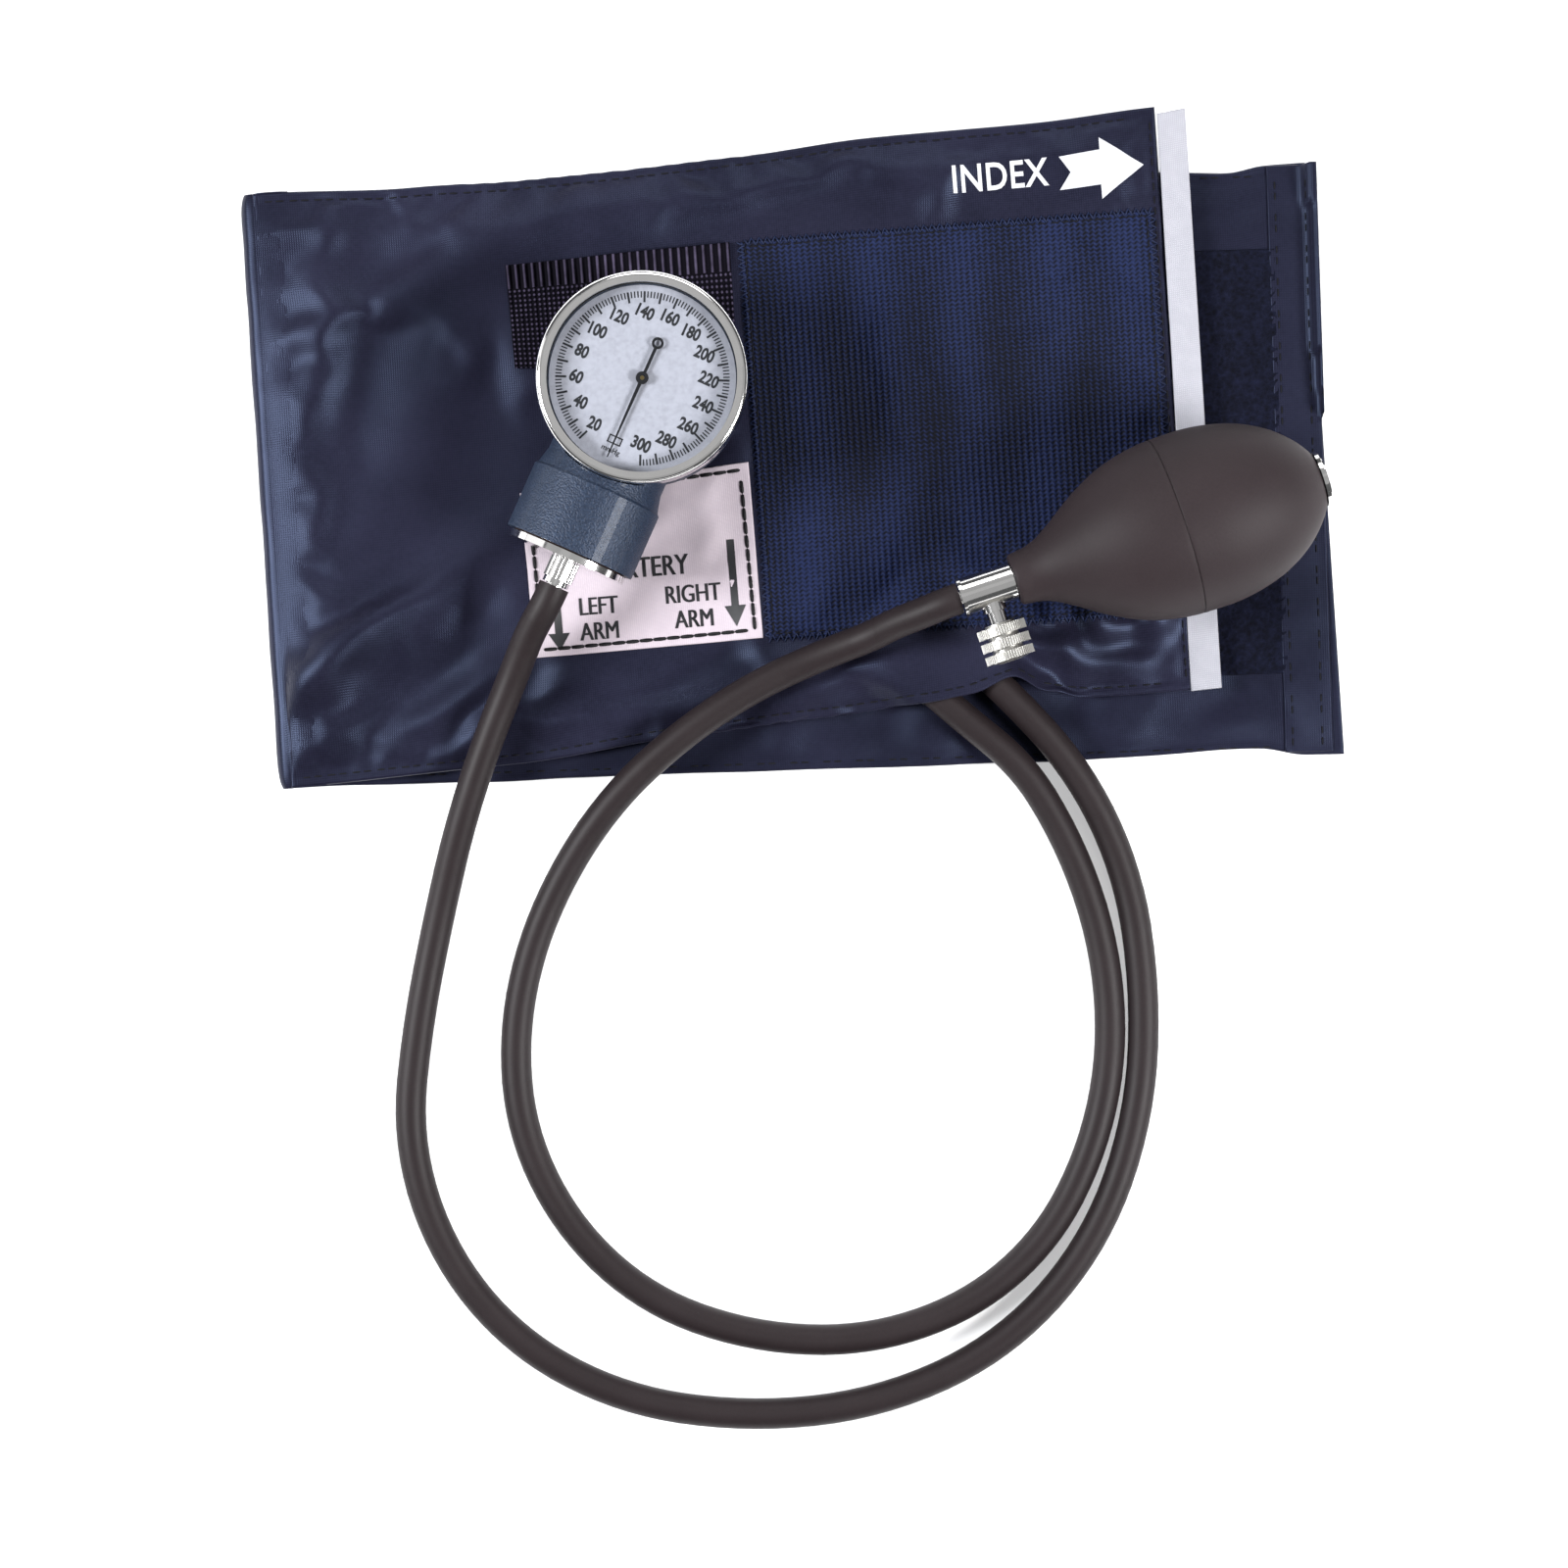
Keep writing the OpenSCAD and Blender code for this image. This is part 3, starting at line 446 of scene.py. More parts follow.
BRASS = metal("brass", (0.62, 0.46, 0.20), 0.22, 0.12)
BRONZE = metal("bronze_sheet", (0.60, 0.40, 0.20), 0.3, 0.1)
PAINT = hammertone("blue_hammertone", (0.0066, 0.0132, 0.0320), (0.0232, 0.0412, 0.0810))
FACE = flat_print("dial_enamel", (0.395, 0.393, 0.445), 0.35)
INK = flat_print("black_ink", (0.006, 0.006, 0.009), 0.6)
WHITE_INK = flat_print("white_ink", (0.63, 0.64, 0.69), 0.5)
GREY_INK = flat_print("grey_ink", (0.012, 0.012, 0.015), 0.5)
POINTER = flat_print("pointer_black", (0.01, 0.01, 0.012), 0.35)
GLASS = clear_glass("lens_glass")
# dark red-brown fibre, darkened further as painted shade for its place in the recess below the drum's top
SHADED_FIBRE = rubber("gasket_fibre", (0.020, 0.010, 0.009), (0.035, 0.017, 0.014), 0.8, 0.00008)

SLOT_LOOKS = {"hose_rubber": HOSE, "chrome": CHROME, "steel": STEEL, "brass": BRASS,
              "hammertone": PAINT, "gasket_fibre": SHADED_FIBRE, "diaphragm_bronze": BRONZE,
              "dial_enamel": FACE, "pointer_black": POINTER, "lens_glass": GLASS,
              "bladder_rubber": BLACK_RUBBER, "seal_rubber": BLACK_RUBBER, "flap_rubber": RED_RUBBER,
              "bulb_rubber": BULB, "nylon": NAVY, "hook_knit": HOOK, "loop_pile": LOOP,
              "webbing": WEB, "label_satin": LABEL, "index_tape": TAPE}


def paint(ob, mat):
    ob.data.materials.clear()
    ob.data.materials.append(mat)


def stand_in(ob, look, slot, body, *nodes):
    """Gives a finished mesh its look and its body, in place of these CAD nodes."""
    paint(ob, look)
    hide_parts(*nodes)
    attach(ob, body)


for part in frame["record"]["subparts"]:
    node = frame["nodes"][part["node"]]
    look = SLOT_LOOKS[part["material_slot"]]
    if not node.material_slots:
        node.data.materials.append(look)
    for material_slot in node.material_slots:
        material_slot.material = look
frame["nodes"]["release_knob"].material_slots[0].material = SATIN


# ---------------------------------- cuff cloth

# where the hoses leave the bladder: middle of the two sleeves and the way they point
SLEEVE_LO, SLEEVE_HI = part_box("bladder_sleeves")
SLEEVE_MID = ((SLEEVE_LO + SLEEVE_HI) / 2) / MM
SLEEVE_TURN = math.radians(139)     # heading of the sleeves, from the row frame's x axis
SLEEVE_DIR = Vector((math.cos(SLEEVE_TURN), math.sin(SLEEVE_TURN), 0))
SLEEVE_SIDE = Vector((-SLEEVE_DIR.y, SLEEVE_DIR.x, 0))
HOSE_R = 3.7
HOSE_TOP = SLEEVE_MID.z + HOSE_R

TOP_LEN = 219.6     # length of the top layer from the fold
EDGE_MID = 4.9      # height of its edge
COVER_LOWEST = 3.25
TOP_FACE = 6.2      # height of its face at the fold
SEAM_IN = 2.3       # distance of a seam from the edge
# how far its two long edges are drawn in, by distance from the fold
TOP_IN = [(0, 0), (40, 2.2), (65, 3.1), (88, 3.1), (118, 2.6), (150, 1.2), (190, 1.6), (220, 0.6)]
LOW_IN = [(0, 0), (55, 0.4), (100, 3.2), (130, 4.2), (155, 5.2), (166, 6.2), (176, 9.6),
          (184, 5.0), (194, 2.6), (208, 2.2), (220, 2.0)]
RIPPLES = [
    # distance from the fold, place across, direction in degrees, length, width, height
    (14, -60, 24, 30, 5, 0.8), (30, -64, 12, 26, 4, -0.5), (44, -66, 30, 16, 4, 0.7),
    (58, -62, 8, 34, 4.5, 0.6), (78, -64, -6, 26, 3.5, 0.8), (92, -58, 10, 30, 4, -0.5),
    (108, -62, 14, 22, 3.5, 0.8), (126, -58, -4, 28, 4, 0.7), (142, -60, 12, 20, 3, 0.7),
    (156, -56, 26, 20, 3.2, 0.6), (196, -52, -18, 22, 3.4, 0.9), (204, -58, -6, 20, 3, -0.6),
    (208, -50, -30, 18, 3, 0.7), (188, -46, -40, 22, 3.4, 0.6),
    (18, -20, 78, 44, 9, 0.6), (36, 10, 70, 50, 10, 0.5), (22, 40, 60, 40, 9, 0.5),
    (60, -50, 20, 30, 6, 0.5), (30, -40, 40, 34, 7, 0.55), (48, 60, -6, 40, 5, 0.5),
    (90, 62, 4, 40, 5, 0.45), (128, 64, 10, 40, 4.5, 0.5), (170, 62, 2, 36, 5, 0.35),
    # soft folds that run in from the fold, and gathers that fan out from the hoses
    (20, -38, 32, 60, 6, 0.9), (36, -52, 26, 60, 5, -0.7), (52, -46, 34, 44, 5, 0.7),
    (12, 8, 84, 70, 7, 0.8), (24, 34, 76, 60, 8, -0.5), (44, 50, 20, 50, 6, 0.5),
    (190, -58, 10, 34, 3.2, 1.1), (198, -50, 24, 34, 3.0, -0.8), (204, -44, 40, 30, 3.4, 0.9),
    (184, -62, -4, 30, 3.0, 0.9), (150, -66, 4, 26, 3.0, 0.8), (118, -66, 8, 24, 3.0, 0.7),
    (186, -48, -72, 13, 3.0, 1.1), (192, -52, -62, 12, 2.6, -0.9), (199, -46, 70, 14, 4.5, 0.9),
    (207, -48, 80, 14, 4.0, -0.7), (213, -50, 84, 14, 3.0, 0.6),
    (22, -52, 22, 22, 6, -0.8), (16, -40, 36, 26, 6, 0.9),
]
RIPPLE_GAIN = 3.1
HOSE_CLEAR = 0.35   # gap kept between a cloth and the hose above it

HOSES = []
for name in ("gauge_hose", "bulb_hose"):
    hose = frame["nodes"][name]
    HOSES.append(BVHTree.FromPolygons([hose.matrix_world @ v.co for v in hose.data.vertices],
                                      [tuple(p.vertices) for p in hose.data.polygons]))


def under_hoses(x, y):
    """Height in millimetres that a cloth may reach at a place without touching a hose."""
    top = 99.0
    for tree in HOSES:
        hit = tree.ray_cast(Vector((x * MM, y * MM, 0)), Vector((0, 0, 1)))[0]
        if hit:
            top = min(top, hit.z / MM - HOSE_CLEAR)
    return top


def ripple_height(s, t, ripples):
    """Sum of soft ridges, each given by one row of ripples."""
    h = 0.0
    for s0, t0, ang, length, width, amp in ripples:
        c, q = math.cos(math.radians(ang)), math.sin(math.radians(ang))
        a = ((s - s0) * c + (t - t0) * q) / length
        b = (-(s - s0) * q + (t - t0) * c) / width
        if abs(a) < 2 and abs(b) < 3:
            h += amp * math.exp(-a * a * 2 - b * b)
    return h


def hump(x, y):
    """Share, 0 to 1, by which the cloth is lifted onto the hoses at a place in the row frame."""
    d = Vector((x - SLEEVE_MID.x, y - SLEEVE_MID.y, 0))
    a, b = d.dot(SLEEVE_DIR), abs(d.dot(SLEEVE_SIDE))
    return smooth((17.5 - b) / 8.5) * smooth((21 - a) / 15)


def cover_edges(s):
    lo = -CUFF_W / 2 + curve_through(LOW_IN, s)
    hi = CUFF_W / 2 - curve_through(TOP_IN, s)
    return lo, hi


def cover_xy(s, t):
    """Row frame place of cloth s from the fold and t across, both in millimetres."""
    lo, hi = cover_edges(s)
    f = (t + CUFF_W / 2) / CUFF_W
    y = lo + (hi - lo) * f
    x = s * math.cos(math.radians(SKEW))
    return fold_point(x, y + x * math.tan(math.radians(SKEW)), 0) / MM


def cover_place(s, t, side):
    """Point of the top layer; side is 1 for its face, -1 for its back and 0 for its edge."""
    p = cover_xy(s, t)
    d = min(t + CUFF_W / 2, CUFF_W / 2 - t, TOP_LEN - s)
    lift = hump(p.x, p.y)
    near = smooth(d / 10)
    rim = math.sqrt(max(0.0, 1 - (1 - min(d, 1.0)) ** 2))
    if side >= 0:
        puff = RIPPLE_GAIN * ripple_height(s, t, RIPPLES)
        puff += 0.5 * wave_noise(s, t, 42, 1) + 0.25 * wave_noise(s, t, 16, 2)
        hem = 0.45 * wave_noise(s, t, 9, 3) * (1 - near)
        z = EDGE_MID + 0.75 * rim + near * 0.75 + puff * (0.25 + 0.75 * near) + hem
        z -= 0.35 * math.exp(-((d - SEAM_IN) / 0.8) ** 2)
        z = z + lift * (HOSE_TOP + 1.1 - z)
        if s < 3:
            z += (TOP_FACE - z) * (1 - smooth(s / 3))
    else:
        z = EDGE_MID - rim * 0.8 - near * 0.7
        z = z + lift * (HOSE_TOP + 0.1 - z)
    if lift == 0:
        z = min(z, under_hoses(p.x, p.y))
    if side == 0:
        z = EDGE_MID + lift * (HOSE_TOP + 0.5 - EDGE_MID)
        if s < 0.6:
            z = EDGE_MID
    return Vector((p.x, p.y, max(z, COVER_LOWEST))) * MM


GRID = 2.6          # mesh size of the two big cloths, before they are subdivided
AT_FOLD = (0.4, 1.5)
FINE = (0.15, 0.45, 1.0, 1.8, 2.8, 4.2, 6.5)
cover_s = spread(0.2, TOP_LEN, GRID, AT_FOLD, FINE)
cover_t = spread(-CUFF_W / 2, CUFF_W / 2, GRID, FINE, FINE)
cover = shell_object("bladder_end_cloth", cover_s, cover_t, cover_place)


def puff_with_cloth(ob, held, pressure, cap, frames=20):
    """Blows the sewn shell up a little with Blender's cloth, so that its seams pull into puckers."""
    start = np.array([v.co for v in ob.data.vertices])
    group = ob.vertex_groups.new(name="held")
    for i, w in enumerate(held):
        if w > 0:
            group.add([i], w, "REPLACE")
    mod = ob.modifiers.new("cloth", "CLOTH")
    c = mod.settings
    c.quality = 5
    c.mass = 0.2
    c.tension_stiffness = c.compression_stiffness = 12
    c.bending_stiffness = 0.4
    c.use_pressure = True
    c.uniform_pressure_force = pressure
    c.shrink_min = -0.035
    c.vertex_group_mass = "held"
    c.effector_weights.gravity = 0
    mod.collision_settings.use_collision = False
    mod.point_cache.frame_start, mod.point_cache.frame_end = 1, frames
    scene = bpy.context.scene
    for f in range(1, frames + 1):
        scene.frame_set(f)
    dg = bpy.context.evaluated_depsgraph_get()
    ev = ob.evaluated_get(dg).to_mesh()
    moved = np.array([v.co for v in ev.vertices])
    ob.modifiers.clear()
    ob.vertex_groups.clear()
    scene.frame_set(1)
    d = moved - start
    d[~np.isfinite(d)] = 0
    size = np.linalg.norm(d, axis=1, keepdims=True)
    d *= np.minimum(1, cap / np.maximum(size, 1e-9))
    new = start + d
    ob.data.vertices.foreach_set("co", new.ravel())
    ob.data.update()


def cover_held():
    """How firmly each point is held: fully at the seams, underneath and over the hoses."""
    held = []
    for v in cover.data.vertices:
        x, y = fold_local(v.co / MM)
        s = x / math.cos(math.radians(SKEW))
        t = y - x * math.tan(math.radians(SKEW))
        d = min(t + CUFF_W / 2, CUFF_W / 2 - t, TOP_LEN - s, s)
        w = 1 - smooth((d - 2.5) / 4)
        if v.co.z < (EDGE_MID - 0.3) * MM:
            w = 1
        held.append(max(w, hump(v.co.x / MM, v.co.y / MM), 0.04))
    return held


PUFF_PRESSURE, PUFF_MOST = 0.35, 0.9
puff_with_cloth(cover, cover_held(), PUFF_PRESSURE, PUFF_MOST * MM)
subdivide(cover)
stand_in(cover, NAVY, "nylon", "cuff", "cuff_outer_ply", "cuff_inner_ply", "bladder")


class Surface:
    """Height of a finished cloth piece seen from above."""

    def __init__(self, ob):
        me = ob.data
        self.tree = BVHTree.FromPolygons([v.co.copy() for v in me.vertices],
                                         [tuple(p.vertices) for p in me.polygons])

    def z(self, x, y, default):
        hit = self.tree.ray_cast(Vector((x * MM, y * MM, 0.1)), Vector((0, 0, -1)))[0]
        return hit.z / MM if hit else default


TOP = Surface(cover)


def fold_web():
    """The cloth round the fold, from the top layer to the tail."""
    turns, rows = 14, len(cover_t)
    # lap on the top layer: distance from the fold, height over its face
    lips = {9.0: -0.5, 7.5: -0.1, 6.0: 0.03, 4.0: 0.05, 2.0: 0.05}
    steps = turns + len(lips)
    verts, uvs, faces = [], [], []
    mid = FOLD_AT.z
    for lap, rise in lips.items():
        for t in cover_t:
            p = cover_xy(lap, t)
            z = TOP.z(p.x, p.y, 6.1) + rise
            for depth in (0, 0.3):
                verts.append(Vector((p.x, p.y, z - depth)) * MM)
                uvs.append((lap * MM, t * MM))
    for k in range(turns + 1):
        a = math.radians(88 + 184 * k / turns)
        for t in cover_t:
            crumple = 0.22 * wave_noise(t, k * 1.3, 11, 5) * math.sin(math.pi * k / turns)
            d = min(t + CUFF_W / 2, CUFF_W / 2 - t)
            pinch = 1 - 0.35 * math.exp(-d / 2.0)
            for r in (3.05 * pinch + crumple, 2.0 * pinch + crumple):
                verts.append(fold_point(0.25 + math.cos(a) * r, t, mid + math.sin(a) * r * 0.985))
                uvs.append((-3 * (k / turns) * MM, t * MM))
    m = rows * 2
    for k in range(steps):
        for j in range(rows - 1):
            a, b = k * m + j * 2, (k + 1) * m + j * 2
            faces.append((a, b, b + 2, a + 2))
            faces.append((a + 1, a + 3, b + 3, b + 1))
        for j in (0, rows - 1):
            a, b = k * m + j * 2, (k + 1) * m + j * 2
            faces.append((a, a + 1, b + 1, b) if j == 0 else (a, b, b + 1, a + 1))
    for k in (0, steps):
        for j in range(rows - 1):
            a = k * m + j * 2
            faces.append((a, a + 2, a + 3, a + 1) if k == 0 else (a, a + 1, a + 3, a + 2))
    ob = new_object("fold_cloth", verts, faces, uvs)
    paint(ob, NAVY)
    top, low = fold_point(0, 0, mid + 3.0), fold_point(0, 0, mid - 3.0)
    tuple(top)
    tuple(low)
    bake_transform(ob)


fold_web()


# ---------------------------------- tail cloth

TAIL_LEN = 255.6    # length of the tail from the fold
TAIL_MID = 1.05     # height of its edge
TAIL_TOP, END_TOP = 2.85, 3.3       # its greatest height below the top layer, and past it
COVERED = 210       # how far the top layer covers it
TAIL_RIPPLES = [
    (40, -66, 10, 30, 3, 0.3), (120, -67, 4, 26, 3, 0.35), (150, -64, 12, 24, 3, 0.35),
    (176, -62, -20, 22, 3, 0.4), (196, -64, -8, 24, 3.2, 0.5), (214, -60, -24, 22, 3.5, 0.6),
    (226, -66, 4, 22, 3, 0.5), (238, -56, -60, 18, 3, 0.4), (232, 62, 12, 20, 3, 0.5),
    (220, 66, -20, 16, 3, 0.4),
    (100, -60, 28, 34, 4, 0.6), (136, -62, 24, 34, 4, -0.5), (168, -60, 30, 34, 4, 0.6),
    (206, -58, 26, 34, 4, 0.7), (224, -62, 34, 28, 4, -0.5),
    # soft upright folds in the strip that shows below the top layer
    (204, -60, 84, 16, 5, 1.3), (192, -60, 88, 16, 5, -0.9), (157, -62, 82, 14, 5, 1.2),
    (145, -62, 86, 14, 5, -0.8), (168, -62, 84, 14, 5, -0.7), (120, -64, 80, 12, 5, 0.9),
    (241, -58, -50, 14, 3.2, 0.9),
]


def tail_xy(s, t):
    wobble = 0.5 * wave_noise(s, 0, 22, 8) * (1 if abs(t) > 60 else 0)
    x = s * math.cos(math.radians(SKEW))
    sag = curve_through([(0, 0), (200, 0.6), (236, 2.0), (246, 0.2), (256, 0.0)], s)
    y = t * (1 - sag / 72.0) + wobble
    return fold_point(x, y - x * math.tan(math.radians(SKEW)), 0) / MM


def tail_place(s, t, side):
    """Point of the tail, as in cover_place."""
    p = tail_xy(s, t)
    d = min(t + CUFF_W / 2, CUFF_W / 2 - t, TAIL_LEN - s)
    rim = math.sqrt(max(0.0, 1 - (1 - min(d, 0.8) / 0.8) ** 2))
    near = smooth(d / 8)
    if side > 0:
        z = TAIL_MID + 0.75 * rim + 0.15 * near
        loose = near * 0.6 + 0.4
        z += loose * (ripple_height(s, t, TAIL_RIPPLES) + 0.25 * wave_noise(s, t, 24, 4))
        z -= 0.3 * math.exp(-((d - SEAM_IN) / 0.7) ** 2)
        z = min(z, TAIL_TOP if s < COVERED else END_TOP, under_hoses(p.x, p.y))
    elif side < 0:
        z = TAIL_MID - 0.98 * rim
    else:
        z = TAIL_MID
    if s < 3:
        k = 1 - smooth(s / 3)
        z += ((0.06 if side <= 0 else 2.0) - z) * k if side else 0
    return Vector((p.x, p.y, max(z, 0.05))) * MM


tail_s = spread(0.2, TAIL_LEN, GRID, AT_FOLD, FINE)
tail = shell_object("tail_cloth", tail_s, cover_t, tail_place)
subdivide(tail)
stand_in(tail, NAVY_IN, "nylon", "tail", "tail_outer_ply", "tail_inner_ply")


# ---------------------------------- sampling the cloth

TAIL = Surface(tail)


def patch(name, corners, step, surface, lift, thick, relief=None, ease=3):
    """Sewn patch between four corners (given round the outline), laid on the cloth.
    relief(u, v) in millimetres from the first corner adds height to its face."""
    c = [Vector(p) for p in corners]
    wide = (c[1] - c[0]).length
    high = (c[3] - c[0]).length
    rim = (0.2, 0.5)
    us, vs = spread(0, wide, step, rim, rim), spread(0, high, step, rim, rim)

    def corner_blend(a, b):
        return c[0] * (1 - a) * (1 - b) + c[1] * a * (1 - b) + c[2] * a * b + c[3] * (1 - a) * b

    flat = np.zeros((len(us), len(vs)))
    for i, u in enumerate(us):
        for j, v in enumerate(vs):
            p = corner_blend(u / wide, v / high)
            flat[i, j] = surface.z(p.x, p.y, 6.0)
    base = flat.copy()
    for _ in range(ease):
        base[1:-1, 1:-1] = (base[1:-1, 1:-1] * 2 + base[:-2, 1:-1] + base[2:, 1:-1]
                            + base[1:-1, :-2] + base[1:-1, 2:]) / 6
        base = np.maximum(base, flat)
    height = {(u, v): base[i, j] for i, u in enumerate(us) for j, v in enumerate(vs)}

    def at(u, v, side):
        h = lift + (thick * 0.45, thick, 0)[side]
        if side == 1 and relief:
            h += relief(u, v)
        p = corner_blend(u / wide, v / high)
        return Vector((p.x, p.y, height[u, v] + h)) * MM

    return shell_object(name, us, vs, at)


def finish_print(name, verts, faces, look, body):
    ob = new_object(name, verts, faces)
    paint(ob, look)
    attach(ob, body)


def stitches(name, points, surface, pitch, length, width, lift, look, body):
    """Row of separate thread stitches along a polyline of (x, y) in millimetres."""
    rings = ((-0.5, 0.25), (-0.38, 0.85), (0, 1.0), (0.38, 0.85), (0.5, 0.25))
    n = 6
    verts, faces = [], []
    for a, b in zip(points, points[1:]):
        a, b = Vector((*a, 0)), Vector((*b, 0))
        d = (b - a).normalized()
        side = Vector((-d.y, d.x, 0))
        count = max(1, int((b - a).length / pitch))
        for k in range(count):
            mid = a + d * (pitch * (k + 0.5))
            base = len(verts)
            for f, w in rings:
                p = mid + d * (f * length)
                z = surface(p.x, p.y) + lift
                for q in range(n):
                    ang = math.tau * q / n
                    h = math.sin(ang) * width * 0.5 * w - (0.25 * width if abs(f) == 0.5 else 0)
                    o = side * (math.cos(ang) * width * 0.5 * w)
                    verts.append(Vector((p.x + o.x, p.y + o.y, z + h)) * MM)
            last = len(rings) - 1
            for r in range(last):
                for q in range(n):
                    i0, i1 = base + r * n + q, base + r * n + (q + 1) % n
                    faces.append((i0, i1, i1 + n, i0 + n))
            faces.append([base + q for q in reversed(range(n))])
            faces.append([base + last * n + q for q in range(n)])
    finish_print(name, verts, faces, look, body)


def top_z(x, y):
    return TOP.z(x, y, 5.0)


def tail_z(x, y):
    return TAIL.z(x, y, 1.8)


# ---------------------------------- hook and loop panels

# corners in the row frame, in millimetres, round each outline from the lower left
HOOK_CORNERS = [(-6, -38.8), (92.3, -32.4), (86.4, 64.6), (-13, 57)]
STRAP_CORNERS = [(-67.3, 26.3), (-13.6, 26.7), (-15.6, 57), (-69.5, 51)]
LABEL_CORNERS = [(-62.3, -43.5), (-7.4, -38.6), (-11, 4), (-66.2, -3.6)]
TAPE_CORNERS = [(95.9, -51.4), (103.3, -50.6), (94.4, 89.4), (87.6, 88)]


def wales(u, v):
    """Knitted hook face: upright ribs with a little unevenness."""
    return 0.15 * math.sin(math.tau * u / WALE) + 0.12 * noise.noise(Vector((u * 1.4, v * 1.1, 1)))


hook = patch("hook_patch", HOOK_CORNERS, 0.38, TOP, 0.12, 0.5, wales)
stand_in(hook, HOOK, "hook_knit", "cuff", "hook_panel")
HOOK_TOP = Surface(hook)


def tuft(u, v):
    """Brushed loop face."""
    coarse = noise.noise(Vector((u * 0.9, v * 0.9, 3)))
    return 0.30 * coarse + 0.26 * noise.noise(Vector((u * 2.3, v * 2.3, 5)))


tail_turn = math.atan2(FOLD_X.y, FOLD_X.x) - math.radians(SKEW)
TAIL_DIR = Vector((math.cos(tail_turn), math.sin(tail_turn), 0))
TAIL_SIDE = Vector((-TAIL_DIR.y, TAIL_DIR.x, 0))


def tail_point(s, t):
    p = FOLD_FLAT + TAIL_DIR * s + TAIL_SIDE * t
    return (p.x, p.y)


def tail_corners(s0, s1, t0, t1):
    return [tail_point(s0, t0), tail_point(s1, t0), tail_point(s1, t1), tail_point(s0, t1)]


loop = patch("loop_patch", tail_corners(96, 245, -52, 51), 0.85, TAIL, 0.03, 0.45, tuft)
for v in loop.data.vertices:
    s = (v.co / MM - FOLD_FLAT).dot(TAIL_DIR)
    if s < COVERED + 3:
        v.co.z = min(v.co.z, (TAIL_TOP + 0.1) * MM)
stand_in(loop, LOOP, "loop_pile", "tail", "loop_panel")

hem = patch("tail_hem", tail_corners(243.5, 255.2, -71.2, 71.2), 1.2, TAIL, 0.02, 0.5)
stand_in(hem, NAVY_IN, "nylon", "tail", "tail_end_hem")
HEM = Surface(hem)


# ---------------------------------- strap, label, tape

def ribs(u, v):
    """Ribbed border of the strap; the rest is nearly flat."""
    rib = 0.30 * math.sin(math.tau * u / RIB_PITCH)
    return rib if v > RIB_FROM else 0.25 * rib


strap = patch("gauge_strap_web", STRAP_CORNERS, 0.45, TOP, 0.75, 0.75, ribs, 6)
stand_in(strap, WEB, "webbing", "cuff", "gauge_strap")

label = patch("artery_label_cloth", LABEL_CORNERS, 1.2, TOP, 0.1, 0.22, None, 4)
stand_in(label, LABEL, "label_satin", "cuff", "artery_label")
LABEL_TOP = Surface(label)

tape = patch("index_tape_strip", TAPE_CORNERS, 1.2, TOP, 0.1, 0.3)
stand_in(tape, TAPE, "index_tape", "cuff", "index_strip")


# ---------------------------------- bulb

def lathe(name, profile, segments, place):
    """Closed turned shape. profile is (along, radius) from end to end;
    place(along, y, z) gives the point in the row frame."""
    verts = []
    m, last = segments, len(profile) - 1
    for x, r in profile:
        for k in range(m):
            a = math.tau * k / m
            verts.append(place(x, r * math.cos(a), r * math.sin(a)))
    faces = []
    for i in range(last):
        for k in range(m):
            j = (k + 1) % m
            faces.append((i * m + k, (i + 1) * m + k, (i + 1) * m + j, i * m + j))
    faces.append(list(range(m)))
    faces.append([last * m + k for k in reversed(range(m))])
    return new_object(name, verts, faces)


VALVE_X = Vector(JOINTS["check_flap_lift"]["axis"]).normalized() * -1
VALVE_Y = Vector((-VALVE_X.y, VALVE_X.x, 0))
KNOB_AT = Vector(JOINTS["knob_turn"]["pos_m"]) / MM
KNOB_FROM_AXIS = 12
VALVE_AT = KNOB_AT + VALVE_Y * KNOB_FROM_AXIS


def valve_point(x, y, z):
    p = VALVE_AT + VALVE_X * x + VALVE_Y * y
    return Vector((p.x, p.y, VALVE_AT.z + z)) * MM


# outline of the bulb: distance along the valve's axis, radius
BULB_KEYS = [(6.5, 5.4), (6.9, 6.1), (8.5, 6.35), (11, 6.7), (14.3, 7.9), (18.5, 10.4),
             (22.5, 13.1), (26, 15.3), (32, 18.3), (38, 20.2), (44, 21.2), (50, 21.45),
             (56, 21.3), (62, 20.3), (67.5, 18.6), (72.5, 16.1), (76.3, 13.3), (79.2, 10.4),
             (81.1, 7.9), (82.0, 6.2), (82.15, 4.9)]


def spline(keys, n):
    """Catmull-Rom points through the keys."""
    out = []
    pts = [keys[0]] + keys + [keys[-1]]
    for i in range(1, len(pts) - 2):
        p0, p1, p2, p3 = (np.array(p, float) for p in pts[i - 1:i + 3])
        for k in range(n):
            t = k / n
            square, cube = 2 * p0 - 5 * p1 + 4 * p2 - p3, -p0 + 3 * p1 - 3 * p2 + p3
            out.append(tuple(0.5 * (2 * p1 + (-p0 + p2) * t + square * t * t + cube * t ** 3)))
    out.append(keys[-1])
    return out


